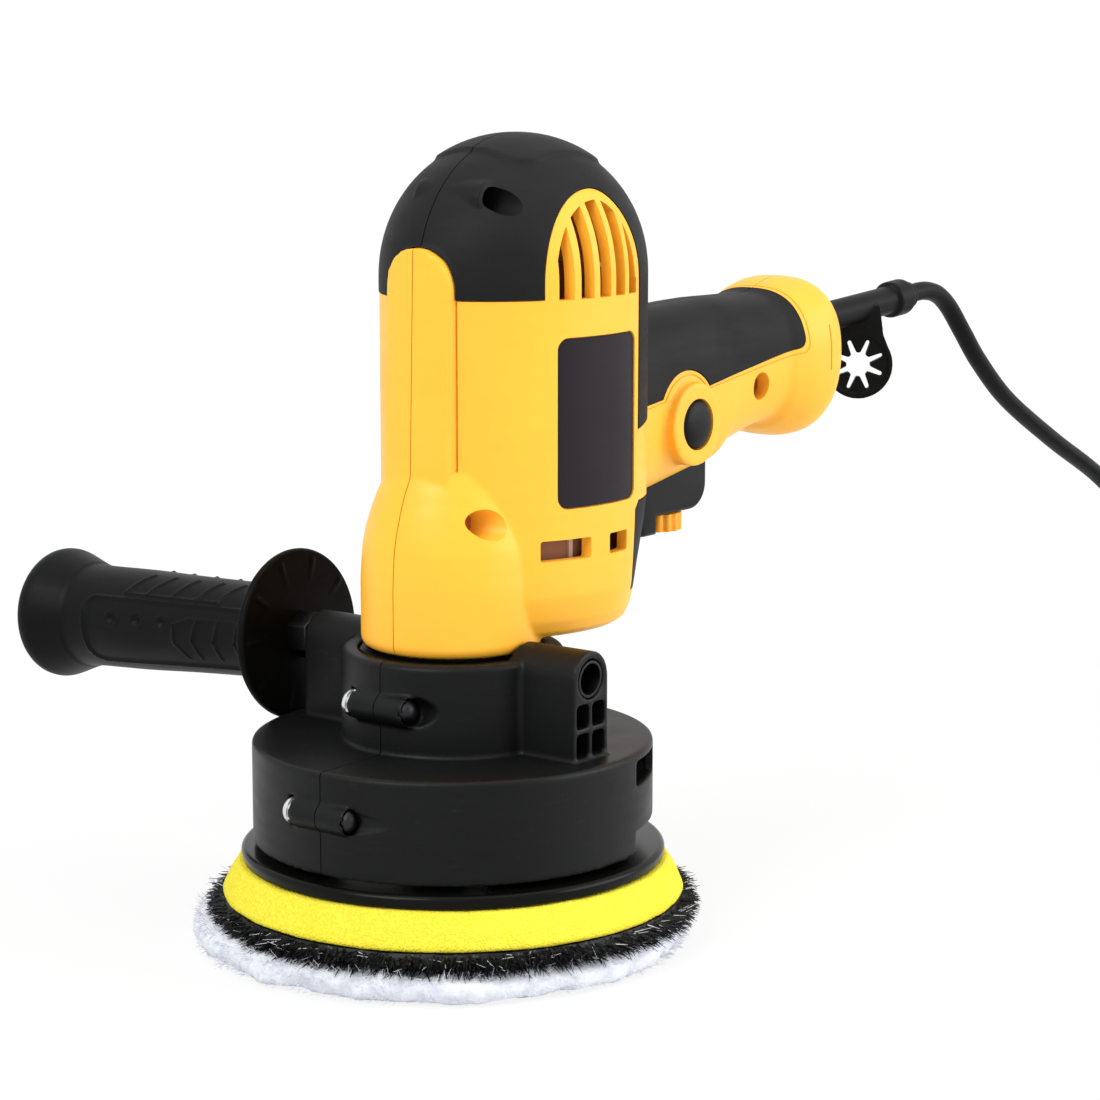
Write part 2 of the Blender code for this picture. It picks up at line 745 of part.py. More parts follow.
def seat_ribs():
    """Ribs inside the shell that hold the stator and the upper bearing, which stays clear of the vents."""
    ribs = []
    seats = (
        (sum(STATOR_Z) / 2, STATOR_RADIUS, BODY_HALF_WIDTH),
        (MOTOR_BEARING_HIGH_Z + MOTOR_BEARING[2] / 2, MOTOR_BEARING[0], VENT_DEPTH),
    )
    for height, radius, half_width in seats:
        size = dome_size(height + RIB_THICK / 2)
        bite = HOUSING_WALL * 0.8
        edge = (BODY_HALF_LENGTH * size - bite, half_width * size - bite)
        seat = (radius + GAP) / math.cos(math.pi / HIDDEN_SIDES)
        outlines = [circle((MOTOR_X, 0), size, HIDDEN_SIDES) for size in (edge, seat)]
        ribs.append(plate("rib", outlines, height - RIB_THICK / 2, height + RIB_THICK / 2))
    return ribs


def vent_cutters():
    """Slots through the shell's side walls, which leave the ribs inside whole."""
    slots = []
    for i in range(VENT_SLOTS):
        x = VENT_X + 0.0012 + (i - (VENT_SLOTS - 1) / 2) * VENT_SLOT_STEP
        reach = 1 - ((x - VENT_X) / VENT_HALF_WIDTH) ** 2
        top = VENT_SPRING + VENT_RISE * math.sqrt(max(reach, 0.08)) - VENT_MARGIN
        slots.append((x - VENT_SLOT_WIDTH / 2, CAP_EDGE + 0.0022, x + VENT_SLOT_WIDTH / 2, top))
    for start, end in LOW_VENTS:
        slots.append((start, LOW_VENT_Z - LOW_VENT_HEIGHT / 2, end, LOW_VENT_Z + LOW_VENT_HEIGHT / 2))
    cutters = []
    for x0, z0, x1, z1 in slots:
        cutters.append(box("slot", (x0, VENT_DEPTH, z0), (x1, FAR / 4, z1)))
        cutters.append(box("slot", (x0, -FAR / 4, z0), (x1, -VENT_DEPTH, z1)))
    return cutters


def screw_wells(side):
    """Holes for the housing screws: the head's well on the -Y half and a pilot hole in the other."""
    cutters = []
    for x, z, head, tip in HOUSING_SCREWS.values():
        if side < 0:
            cutters.append(rod("well", (x, -FAR / 4, z), (x, -head, z), SCREW_WELL_RADIUS, 14))
            cutters.append(rod("hole", (x, -head - 0.001, z), (x, 0.01, z), SCREW_RADIUS + GAP, 10))
        else:
            cutters.append(rod("pilot", (x, -0.01, z), (x, tip + GAP, z), SCREW_RADIUS + GAP, 10))
    return cutters


def make_housing():
    form = housing_solid("form", 0)
    under = housing_solid("under", SKIN)
    shell = cut(copy(form, "shell"), cover_region(0), tail_region(0))
    shell = join(shell, housing_solid("seat", SKIN + GAP))
    inner = join(body_solid(HOUSING_WALL), nose_solid(HOUSING_WALL - 0.0005, True))
    shell = cut(shell, join(inner, grip_solid(HOUSING_WALL)))
    limit = housing_solid("limit", SKIN + GAP + 0.0005)
    shell = join(shell, *screw_bosses(limit), *seat_ribs())
    remove(limit)
    shell = cut(shell, *vent_cutters())
    trigger_gap = TRIGGER_HALF_WIDTH + RUNNING_GAP
    low = (TRIGGER_X[0] - RUNNING_GAP, -trigger_gap, TRIGGER_BOTTOM)
    high = (TRIGGER_X[1] + RUNNING_GAP, trigger_gap, SWITCH_Z - GAP)
    shell = cut(shell, box("trigger_slot", low, high))
    start, end = Vector(SLEEVE_START), Vector(SLEEVE_END)
    shell = cut(shell, rod("cord_hole", start, end, SLEEVE_RADIUS + GAP, 14))
    for side, name in ((-1, "housing_right"), (1, "housing_left")):
        half = half_of(shell, side, name)
        if side < 0:
            root = (LOCK_X, LOCK_BOSS_ROOT_Y, LOCK_Z)
            half = join(half, rod("ring", (LOCK_X, LOCK_BOSS_Y, LOCK_Z), root, LOCK_BOSS_RADIUS, 22))
            bore_end = (LOCK_X, LOCK_BORE_END_Y, LOCK_Z)
            hole = rod("hole", (LOCK_X, -FAR / 4, LOCK_Z), bore_end, LOCK_RADIUS + RUNNING_GAP, 20)
            recess = side_plate("recess", [label_outline(GAP)], -FAR, 0)
            recess = keep(recess, body_skin(-0.001, LABEL_THICK + GAP))
            half = cut(half, hole, recess)
        half = cut(half, *screw_wells(side))
        part(half, "yellow_plastic")
    cover = cut(keep(copy(form, "cover"), cover_region(GAP)), copy(under, "under_copy"))
    tail = cut(keep(form, tail_region(GAP)), under)
    for side, word in ((-1, "right"), (1, "left")):
        half = half_of(cover, side, "overmould_" + word)
        if side < 0:
            half = cut(half, *screw_wells(side))
        part(half, "soft_black")
        part(half_of(tail, side, "tail_pad_" + word), "soft_black")
    for left_over in (shell, cover, tail):
        remove(left_over)


def make_label_plate():
    label = side_plate("label_plate", [label_outline(0)], -FAR, 0)
    part(keep(label, body_skin(0.0001, LABEL_THICK)), "label_grey")


def make_housing_screws():
    for name, (x, z, head, tip) in HOUSING_SCREWS.items():
        seat = -head - GAP
        screw = rod(name, (x, seat - SCREW_HEAD_LENGTH, z), (x, seat, z), SCREW_HEAD_RADIUS, 10)
        shank = rod("shank", (x, seat - 0.0005, z), (x, tip, z), SCREW_RADIUS, 8)
        part(join(screw, shank), "steel")


# Controls

def make_trigger():
    front, rear = TRIGGER_X
    top = SWITCH_Z - GAP - TRIGGER_TRAVEL
    outline = [
        (front, top),
        (front, TRIGGER_BOTTOM + 0.003),
        (front + 0.002, TRIGGER_BOTTOM),
        (TRIGGER_STEP_X, TRIGGER_BOTTOM),
        (TRIGGER_STEP_X, TRIGGER_STEP_Z),
        (rear - 0.006, TRIGGER_STEP_Z),
        (rear - 0.001, TRIGGER_STEP_Z + 0.0035),
        (rear, top),
    ]
    trigger = side_plate("trigger", [outline], -TRIGGER_HALF_WIDTH, TRIGGER_HALF_WIDTH)
    trigger = rounded(trigger, 0.0012, 1, math.radians(60))
    low, high = TRIGGER_STEP_Z - 0.01, TRIGGER_STEP_Z + 0.004
    stem = rod("stem", (DIAL_X, 0, low), (DIAL_X, 0, high), DIAL_STEM_RADIUS + RUNNING_GAP, 12)
    well_top = (DIAL_X, 0, TRIGGER_STEP_Z + GAP)
    well = rod("well", (DIAL_X, 0, low), well_top, DIAL_RADIUS + 2 * GAP, 24)
    part(cut(trigger, stem, well), "black_plastic")


def make_speed_dial():
    outline = []
    for i in range(DIAL_RIBS * 2):
        turn = math.tau * i / (DIAL_RIBS * 2)
        radius = DIAL_RADIUS if i % 2 else DIAL_RADIUS - 0.0007
        outline.append((DIAL_X + radius * math.cos(turn), radius * math.sin(turn)))
    high = TRIGGER_STEP_Z - RUNNING_GAP
    dial = plate("speed_dial", [outline], high - DIAL_HEIGHT, high)
    stem = rod("stem", (DIAL_X, 0, high - 0.001), (DIAL_X, 0, high + 0.0035), DIAL_STEM_RADIUS, 12)
    part(join(dial, stem), "orange_plastic", (DIAL_X, 0, high))


def make_lock_button():
    profile = [
        (0, LOCK_LENGTH),
        (LOCK_RADIUS * 0.6, LOCK_LENGTH - 0.0003),
        (LOCK_RADIUS - 0.0005, LOCK_LENGTH - 0.0010),
        (LOCK_RADIUS, LOCK_LENGTH - 0.0020),
        (LOCK_RADIUS, 0),
        (0, 0),
    ]
    button = turned("lock_button", profile, 20)
    move(button, Matrix.Rotation(math.pi / 2, 4, "X"))
    move(button, Matrix.Translation((LOCK_X, LOCK_FACE_Y + LOCK_LENGTH, LOCK_Z)))
    part(button, "black_plastic", (LOCK_X, LOCK_FACE_Y, LOCK_Z))


def make_switch():
    low = (TRIGGER_X[0] + 0.001, SWITCH_Y[0], SWITCH_Z)
    high = (TRIGGER_X[1] - 0.007, SWITCH_Y[1], SWITCH_Z + SWITCH_HEIGHT)
    part(rounded(box("switch_body", low, high), 0.0008, 1), "black_plastic")


# Cord

def smooth_route(points, step):
    """Points at even steps along a smooth curve through the route."""
    route = [Vector(point) for point in points]
    route = [2 * route[0] - route[1]] + route + [2 * route[-1] - route[-2]]
    fine = []
    for a, b, c, d in zip(route, route[1:], route[2:], route[3:]):
        for i in range(40):
            t = i / 40
            square, cube = 2 * a - 5 * b + 4 * c - d, 3 * b - a - 3 * c + d
            fine.append(0.5 * (2 * b + (c - a) * t + square * t**2 + cube * t**3))
    fine.append(route[-2])
    length = sum((b - a).length for a, b in zip(fine, fine[1:]))
    count = round(length / step)
    even, walked = [fine[0]], 0
    for a, b in zip(fine, fine[1:]):
        walked += (b - a).length
        if walked >= length * len(even) / count - 1e-9 and len(even) < count:
            even.append(b)
    return even + [fine[-1]], length


def tube(name, points, diameter, resolution):
    curve = bpy.data.curves.new(name, "CURVE")
    curve.dimensions = "3D"
    curve.bevel_depth = diameter / 2
    curve.bevel_resolution = resolution
    curve.use_fill_caps = True
    spline = curve.splines.new("POLY")
    spline.points.add(len(points) - 1)
    for point, place in zip(spline.points, points):
        point.co = (*place, 1)
    return applied(new_object(name, curve))


def coil_points():
    """A spiral in and out again, with its outer ends leading straight off."""
    turns = COIL_TURNS * COIL_LAYERS
    count = round(turns * COIL_POINTS_A_TURN)
    outer = COIL_MIDDLE_RADIUS + COIL_PITCH * COIL_TURNS / 2
    centre = Vector((CORD_ROUTE[-1][0] + 2 * CORD_DIAMETER, -outer, COIL_Z))
    points = []
    for i in range(count + 1):
        turn = i / COIL_POINTS_A_TURN
        layer_turn = turn if turn < COIL_TURNS else 2 * COIL_TURNS - turn
        radius = outer - COIL_PITCH * layer_turn
        climb = min(1, max(0, (turn - COIL_TURNS + 0.25) / 0.5))
        angle = math.pi / 2 - math.tau * turn
        place = Vector((math.cos(angle), math.sin(angle), 0)) * radius
        points.append(centre + place + Vector((0, 0, COIL_LAYER_RISE * climb * climb * (3 - 2 * climb))))
    lead = Vector((-CORD_DIAMETER, 0, 0))
    last = (points[-1] - points[-2]).normalized() * CORD_DIAMETER
    last.z = 0
    points = [points[0] + lead * 1.9, points[0] + lead] + points
    return points + [points[-1] + last, points[-1] + 2 * last], centre


def least_gap(points):
    """The least gap between two stretches of a tube that are more than a half turn apart."""
    apart = COIL_POINTS_A_TURN // 2
    pairs = ((a - b).length for i, a in enumerate(points) for b in points[i + apart:])
    return min(pairs) - CORD_DIAMETER


def make_cord():
    points, length = smooth_route(CORD_ROUTE, CORD_POINT_STEP)
    part(tube("power_cord", points, CORD_DIAMETER, 2), "rubber")
    turns, centre = coil_points()
    coil_length = sum((b - a).length for a, b in zip(turns, turns[1:]))
    print(f"cord {length + coil_length:.3f} m, least gap in the coil {least_gap(turns) * 1000:.2f} mm")
    part(tube("cord_coil", turns, CORD_DIAMETER, 1), "rubber")
    make_tie(centre)
    make_plug(turns[-1], (turns[-1] - turns[-2]).normalized())


def make_tie(centre):
    half_across = COIL_PITCH * COIL_TURNS / 2 + CORD_DIAMETER / 2 + GAP * 2
    low = COIL_Z - CORD_DIAMETER / 2 - GAP
    high = COIL_Z + COIL_LAYER_RISE + CORD_DIAMETER / 2 + GAP
    thick = TIE_THICK
    inner = rounded_rectangle((-half_across, low), (half_across, high), TIE_CORNER)
    low, high, half_across = low - thick, high + thick, half_across + thick
    outer = rounded_rectangle((-half_across, low), (half_across, high), TIE_CORNER + thick)
    tie = side_plate("cord_tie", [outer, inner], -TIE_WIDTH / 2, TIE_WIDTH / 2)
    outward = Vector((math.cos(TIE_ANGLE), math.sin(TIE_ANGLE), 0)) * COIL_MIDDLE_RADIUS
    place = Vector((centre.x, centre.y, 0)) + outward
    part(move(tie, Matrix.Translation(place) @ Matrix.Rotation(TIE_ANGLE, 4, "Z")), "rubber")


def make_plug(cord_end, direction):
    """A flat two-pin plug that lies beside the coil, with a tapered boot towards the cord."""
    corner = Vector((PLUG_BODY_LENGTH, PLUG_HALF_WIDTH, PLUG_HALF_THICK))
    body = box("plug", corner * Vector((0, -1, -1)), corner)
    for vertex in body.data.vertices:
        if vertex.co.x < 0.001:
            vertex.co.y *= 0.55
            vertex.co.z *= 0.62
    body = rounded(body, 0.0030, 1)
    thin, thick = PLUG_BOOT_RADIUS * 0.8, PLUG_BOOT_RADIUS * 1.1
    boot = rod("boot", (-PLUG_BOOT_LENGTH, 0, 0), (0.003, 0, 0), thin, 12, thick)
    pins = []
    for side in (-1, 1):
        y = side * PLUG_PIN_SPACING / 2
        root, tip = PLUG_BODY_LENGTH - 0.004, PLUG_BODY_LENGTH + PLUG_PIN_LENGTH
        pins.append(rod("pin", (root, y, 0), (tip, y, 0), PLUG_PIN_RADIUS, 10))
    plug = join(body, boot, *pins)
    turn = Matrix.Rotation(math.atan2(direction.y, direction.x), 4, "Z")
    place = cord_end + direction * (PLUG_BOOT_LENGTH + GAP)
    part(move(plug, Matrix.Translation(place) @ turn), "rubber")


def make_strain_relief():
    start, end = Vector(SLEEVE_START), Vector(SLEEVE_END)
    along = (end - start).normalized()
    sleeve = rod("strain_relief", start, end, SLEEVE_RADIUS, 12, SLEEVE_TIP_RADIUS)
    collar = rod("collar", end - along * SLEEVE_COLLAR_LENGTH, end, SLEEVE_COLLAR_RADIUS, 12)
    collar = rounded(collar, 0.0014, 1)
    flange_ends = (start - along * 0.0004, start + along * SLEEVE_FLANGE_LENGTH)
    flange = rod("flange", *flange_ends, SLEEVE_FLANGE_RADIUS, 12)
    neck_top = start.z + 0.0040
    outline = arc((0, 0), TAB_RADIUS, math.radians(150), math.radians(390), 14)
    outline += [(TAB_NECK_HALF_WIDTH + 0.0012, 0.0095), (TAB_NECK_HALF_WIDTH, neck_top - TAB_Z)]
    outline += [(-TAB_NECK_HALF_WIDTH, neck_top - TAB_Z), (-TAB_NECK_HALF_WIDTH - 0.0012, 0.0095)]
    star = []
    for i in range(STAR_ARMS):
        turn = math.tau * (i + 0.5) / STAR_ARMS
        out = Vector((math.cos(turn), math.sin(turn)))
        side = Vector((-out.y, out.x)) * STAR_ARM_HALF_WIDTH
        star += [tuple(out * STAR_CORE_RADIUS - side), tuple(out * STAR_RADIUS - side)]
        star += [tuple(out * STAR_RADIUS + side), tuple(out * STAR_CORE_RADIUS + side)]
    tab = side_plate("tab", [outline, star], -TAB_THICK / 2, TAB_THICK / 2)
    move(tab, Matrix.Translation((TAB_X, 0, TAB_Z)) @ Matrix.Rotation(TAB_TURN, 4, "Z"))
    part(join(sleeve, collar, flange, tab), "rubber")


# Shroud

def clamp_places():
    """Name, distance of the clamp screw from the spindle and height, front and rear."""
    return (
        ("drum", DRUM_RADIUS - SHROUD_WALL + 0.0010, DRUM_Z + DRUM_CLAMP_RISE),
        ("collar", COLLAR_RADIUS - SHROUD_WALL + 0.0016, DRUM_TOP + COLLAR_CLAMP_RISE),
    )


def boss_outline():
    half = BOSS_HALF_WIDTH
    low = DRUM_TOP - SHROUD_WALL / 2
    return [(-half, low), (half, low)] + arc((0, BOSS_BORE_Z), half, 0, math.pi, 10)


def sector(name, inner, outer, start, end, low, high, steps=4):
    outline = arc((0, 0), outer, start, end, steps) + arc((0, 0), inner, end, start, steps)
    return plate(name, [outline], low, high)


def make_shroud():
    edge, wall = SHROUD_EDGE, SHROUD_WALL
    inner = CASE_NECK_RADIUS + GAP
    profile = [
        (inner - 0.001, COLLAR_TOP),
        (COLLAR_RADIUS - edge, COLLAR_TOP),
        (COLLAR_RADIUS, COLLAR_TOP - edge),
        (COLLAR_RADIUS, DRUM_TOP),
        (DRUM_RADIUS - edge, DRUM_TOP),
        (DRUM_RADIUS, DRUM_TOP - edge),
        (DRUM_RADIUS, DRUM_Z),
        (DRUM_RADIUS - wall, DRUM_Z),
        (DRUM_RADIUS - wall, DRUM_TOP - wall),
        (inner - 0.001, DRUM_TOP - wall),
    ]
    shroud = turned("shroud", profile, SHROUD_SIDES, ring=True)
    shroud = join(shroud, side_plate("boss", [boss_outline()], -BOSS_REACH, BOSS_REACH))
    for end in (-1, 1):
        for _, reach, height in clamp_places():
            low, high = (end * reach, -CLAMP_HALF_LENGTH, height), (end * reach, CLAMP_HALF_LENGTH, height)
            shroud = join(shroud, rod("clamp", low, high, CLAMP_RADIUS, 10))
    shroud = cut(shroud, rod("bore", (0, 0, DRUM_Z), (0, 0, COLLAR_TOP + 0.02), inner, SHROUD_SIDES))
    for end in (-1, 1):
        for _, reach, height in clamp_places():
            x = end * reach
            near = -CLAMP_HALF_LENGTH
            bores = (
                (near - DRIVER_ACCESS, near + CLAMP_HEAD_LENGTH, CLAMP_HEAD_RADIUS, 10),
                (near - 0.001, -near + 0.001, CLAMP_SCREW_RADIUS, 8),
                (-near - NUT_LENGTH, -near + 0.006, NUT_RADIUS, 6),
            )
            for low, high, radius, sides in bores:
                shroud = cut(shroud, rod("bore", (x, low, height), (x, high, height), radius + GAP, sides))
    shroud = cut_handle_bores(shroud)
    for side in (-1, 1):
        for start, end, low, high in (
            (WINDOW_START, WINDOW_END, DRUM_TOP - wall - WINDOW_HEIGHT, DRUM_TOP - wall + 0.0004),
            (WINDOW_START, SKIRT_CUT_END, DRUM_Z - 0.01, DRUM_Z + SKIRT_CUT_HEIGHT),
        ):
            outer = DRUM_RADIUS + 0.004
            angles = (start * -side, end * -side)
            shroud = cut(shroud, sector("window", outer - wall - 0.008, outer, *angles, low, high))
    for side, name in ((-1, "shroud_right"), (1, "shroud_left")):
        part(half_of(shroud, side, name), "black_plastic")
    remove(shroud)


def handle_frame(side):
    """The place and direction of a side handle's thread at the boss's end face."""
    place = Matrix.Translation((0, side * BOSS_REACH, BOSS_BORE_Z))
    return place @ Matrix.Rotation(-side * (math.pi / 2 + HANDLE_DROOP), 4, "X")


def cut_handle_bores(shroud):
    wall = BOSS_POCKET_WALL
    for side in (-1, 1):
        bore = rod("bore", (0, 0, -INSERT_LENGTH - GAP), (0, 0, 0.01), INSERT_RADIUS + GAP, 16)
        cutters = [move(bore, handle_frame(side))]
        inner_y = BOSS_REACH - BOSS_POCKET_DEPTH
        cross = DRUM_TOP + (BOSS_BORE_RISE - INSERT_RADIUS) / 2 - 0.0005
        low, top = DRUM_TOP + wall * 0.6, BOSS_BORE_Z - INSERT_RADIUS - wall
        for x0, x1 in ((-BOSS_HALF_WIDTH + wall, -wall / 2), (wall / 2, BOSS_HALF_WIDTH - wall)):
            for z0, z1 in ((low, cross - wall / 2), (cross + wall / 2, top)):
                ends = sorted((side * inner_y, side * (BOSS_REACH + 0.01)))
                cutters.append(box("pocket", (x0, ends[0], z0), (x1, ends[1], z1)))
        shroud = cut(shroud, *cutters)
    return shroud


def make_clamps():
    for end, word in ((-1, "front"), (1, "rear")):
        for name, reach, height in clamp_places():
            x, near = end * reach, -CLAMP_HALF_LENGTH
            seat = near + CLAMP_HEAD_LENGTH - GAP
            head = ((x, seat - CLAMP_HEAD_LENGTH, height), (x, seat, height))
            screw = rod(f"clamp_screw_{word}_{name}", *head, CLAMP_HEAD_RADIUS, 10)
            shank = ((x, seat - 0.0005, height), (x, -near - 0.0004, height))
            part(join(screw, rod("shank", *shank, CLAMP_SCREW_RADIUS, 8)), "bright_steel")
            low = -near - NUT_LENGTH + GAP
            ends = ((x, low, height), (x, low + NUT_LENGTH, height))
            nut = rod(f"clamp_nut_{word}_{name}", *ends, NUT_RADIUS, 6)
            through = ((x, low - 0.01, height), (x, low + 0.02, height))
            part(cut(nut, rod("hole", *through, CLAMP_SCREW_RADIUS + GAP, 8)), "bright_steel")


def make_handle_inserts():
    for side, word in ((-1, "right"), (1, "left")):
        profile = [
            (STUD_RADIUS + GAP, -GAP),
            (INSERT_RADIUS, -GAP),
            (INSERT_RADIUS, -INSERT_LENGTH),
            (STUD_RADIUS + GAP, -INSERT_LENGTH),
        ]
        insert = turned(f"handle_insert_{word}", profile, 16, ring=True)
        part(move(insert, handle_frame(side)), "steel")


# Side handle

def make_handle():
    back = GUARD_FACE + GUARD_THICK
    hub_top = back + GUARD_HUB_HEIGHT
    bore = STUD_RADIUS + GAP
    guard = [
        (bore, STUD_HEX_LENGTH + 3 * GAP),
        (bore, hub_top),
        (GUARD_HUB_RADIUS, hub_top),
        (GUARD_HUB_RADIUS + 0.001, back + 0.0008),
        (GUARD_RADIUS, back),
        (GUARD_RADIUS, GUARD_FACE),
        (GUARD_HUB_RADIUS, GUARD_FACE - 2 * GAP),
    ]
    frame = handle_frame(1)
    part(move(turned("handle_guard", guard, 28, ring=True), frame), "black_plastic")
    start = hub_top + GAP
    end = start + HANDLE_LENGTH
    neck, waist, flare = HANDLE_NECK_RADIUS, HANDLE_WAIST_RADIUS, HANDLE_FLARE_RADIUS
    profile = [
        (0, end),
        (flare * 0.60, end - 0.0004),
        (flare * 0.93, end - 0.0012),
        (flare, end - 0.0036),
        (flare * 0.985, end - HANDLE_FLARE_LENGTH * 0.40),
        (flare * 0.91, end - HANDLE_FLARE_LENGTH * 0.68),
        (waist + 0.0009, end - HANDLE_FLARE_LENGTH),
        (waist, end - HANDLE_FLARE_LENGTH * 1.30),
        (neck + 0.0006, start + HANDLE_BORE_DEPTH),
        (neck, start + 0.0015),
        (neck - 0.0012, start),
        (bore, start),
        (bore, start + HANDLE_BORE_DEPTH),
        (0, start + HANDLE_BORE_DEPTH),
    ]
    part(move(turned("handle_grip", profile, 18), frame), "rubber")
    stud_end = (0, 0, start + HANDLE_BORE_DEPTH - 2 * GAP)
    stud = rod("handle_stud", (0, 0, -STUD_ENGAGEMENT), stud_end, STUD_RADIUS, 12)
    collar = rod("hex", (0, 0, 2.5 * GAP), (0, 0, STUD_HEX_LENGTH), STUD_HEX_RADIUS, 6)
    part(move(join(stud, collar), frame), "steel")


# Gears

def gear_outline(centre, teeth, tooth_angle, points_a_flank):
    """Involute teeth about a centre, with one tooth pointing along an angle."""
    pressure = math.radians(20)
    pitch = MODULE * teeth / 2
    base = pitch * math.cos(pressure)
    tip, root = pitch + 0.85 * MODULE, pitch - 1.15 * MODULE
    half_at_pitch = math.pi / (2 * teeth) - GEAR_BACKLASH / pitch
    outline = []
    for tooth in range(teeth):
        middle = tooth_angle + math.tau * tooth / teeth
        flank = []
        for i in range(points_a_flank):
            radius = root + (tip - root) * i / (points_a_flank - 1)
            roll = math.acos(min(1, base / radius))
            half = half_at_pitch + math.tan(pressure) - pressure - (math.tan(roll) - roll)
            flank.append((radius, half))
        rise = [(radius, middle - half) for radius, half in flank]
        fall = [(radius, middle + half) for radius, half in reversed(flank)]
        for radius, angle in rise + fall:
            outline.append((centre[0] + radius * math.cos(angle), centre[1] + radius * math.sin(angle)))
    return outline


def make_gears():
    to_idler = math.atan2(IDLER_Y, IDLER_X)
    to_motor = math.atan2(-IDLER_Y, MOTOR_X - IDLER_X)
    half_tooth = math.pi / SPINDLE_TEETH
    bore = circle((0, 0), SPINDLE_RADIUS + GAP, 16)
    outline = gear_outline((0, 0), SPINDLE_TEETH, to_idler + half_tooth, 2)
    part(plate("spindle_gear", [outline, bore], *SPINDLE_GEAR_Z), "steel")
    centre = (IDLER_X, IDLER_Y)
    ends = ((*centre, CASE_FLOOR_Z[0] + 0.001), (*centre, BEARING_PLATE_Z[0] + 0.0038))
    idler = rod("idler_gear", *ends, IDLER_SHAFT_RADIUS, 10)
    pinion = gear_outline(centre, IDLER_PINION_TEETH, to_idler + math.pi, 2)
    wheel = gear_outline(centre, IDLER_TEETH, to_motor + math.pi / IDLER_TEETH, 2)
    idler = join(idler, plate("pinion", [pinion], IDLER_PINION_Z[0], IDLER_GEAR_Z[0] + 0.0005))
    idler = join(idler, plate("wheel", [wheel], *IDLER_GEAR_Z))
    part(idler, "steel", (*centre, 0))
    ends = ((MOTOR_X, 0, ARMATURE_PINION_Z[1] - 0.0005), (MOTOR_X, 0, SHAFT_TOP))
    shaft = rod("armature_shaft", *ends, SHAFT_RADIUS, 12)
    pinion = gear_outline((MOTOR_X, 0), ARMATURE_TEETH, to_motor + math.pi, 2)
    shaft = join(shaft, plate("pinion", [pinion], *ARMATURE_PINION_Z))
    part(shaft, "steel", (MOTOR_X, 0, 0))


def make_bearing(name, x, low, size, finish="bright_steel"):
    outer, inner, width = size
    profile = [(inner + GAP, low + width), (outer, low + width), (outer, low), (inner + GAP, low)]
    bearing = turned(name, profile, 14, ring=True)
    part(move(bearing, Matrix.Translation((x, 0, 0))), finish)


def make_spindle():
    top_step = SPINDLE_GEAR_Z[1] + 0.0006
    low = PLATE_HUB_TOP + GAP
    bearing_low = SPINDLE_BEARING_Z
    bore = PAD_BOLT_RADIUS + GAP
    profile = [
        (0, SPINDLE_TOP),
        (SPINDLE_TOP_RADIUS, SPINDLE_TOP),
        (SPINDLE_TOP_RADIUS, top_step),
        (SPINDLE_RADIUS, top_step),
        (SPINDLE_RADIUS, bearing_low - GAP),
        (SPINDLE_COLLAR_RADIUS, bearing_low - GAP),
        (SPINDLE_COLLAR_RADIUS + 0.003, low + 0.004),
        (SPINDLE_COLLAR_RADIUS + 0.003, low),
        (bore, low),
        (bore, low + PAD_BOLT_GRIP),
        (0, low + PAD_BOLT_GRIP),
    ]
    part(turned("spindle", profile, 12), "steel")


def make_gear_case():
    outer, _, width = SPINDLE_BEARING
    seat = outer + GAP
    bearing_low, bearing_high = SPINDLE_BEARING_Z, SPINDLE_BEARING_Z + width
    profile = [
        (SPINDLE_RADIUS + 0.0015, CASE_FLOOR_Z[1]),
        (CASE_UPPER_RADIUS, CASE_FLOOR_Z[1]),
        (CASE_UPPER_RADIUS, COLLAR_TOP - 0.0004),
        (CASE_NECK_RADIUS, COLLAR_TOP - 0.0004),
        (CASE_NECK_RADIUS, CASE_BOTTOM),
        (seat - 0.002, CASE_BOTTOM),
        (seat - 0.002, bearing_low - GAP),
        (seat, bearing_low - GAP),
        (seat, bearing_high + GAP),
        (seat - 0.003, bearing_high + GAP),
        (seat - 0.003, CASE_FLOOR_Z[0]),
        (SPINDLE_RADIUS + 0.0015, CASE_FLOOR_Z[0]),
    ]
    case = turned("gear_case", profile, 16, ring=True)
    ear_ends = ((IDLER_X, IDLER_Y, CASE_FLOOR_Z[0]), (IDLER_X, IDLER_Y, CASE_FLOOR_Z[1] - 0.0002))
    ear = rod("ear", *ear_ends, CASE_EAR_RADIUS, 12)
    hole = rod("hole", (IDLER_X, IDLER_Y, 0.07), (IDLER_X, IDLER_Y, 0.1), IDLER_SHAFT_RADIUS + GAP, 10)
    part(cut(join(case, ear), hole), "aluminium")


def make_bearing_plate():
    low, high = BEARING_PLATE_Z
    bearing_plate = rod("bearing_plate", (0, 0, low), (0, 0, high), BEARING_PLATE_RADIUS, 20)
    seat_ends = ((MOTOR_X, 0, low), (MOTOR_X, 0, high - 0.0002))
    motor = rod("motor_seat", *seat_ends, BEARING_PLATE_MOTOR_RADIUS, 18)
    ear = rod("ear", (IDLER_X, IDLER_Y, low), (IDLER_X, IDLER_Y, high - 0.0004), CASE_EAR_RADIUS, 12)
    bearing_plate = join(bearing_plate, motor, ear)
    bores = (
        (0, 0, high + 0.01, BUSH_RADIUS, 14),
        (MOTOR_X, 0, high + 0.01, MOTOR_BEARING[0], 16),
        (IDLER_X, IDLER_Y, low + 0.0045, IDLER_SHAFT_RADIUS, 10),
    )
    for x, y, bore_top, radius, sides in bores:
        bore = rod("bore", (x, y, low - 0.01), (x, y, bore_top), radius + GAP, sides)
        bearing_plate = cut(bearing_plate, bore)
    part(bearing_plate, "aluminium")
    bush = (BUSH_RADIUS, SPINDLE_TOP_RADIUS, high - low)
    make_bearing("spindle_bush", 0, low, bush, "bronze")


# Motor

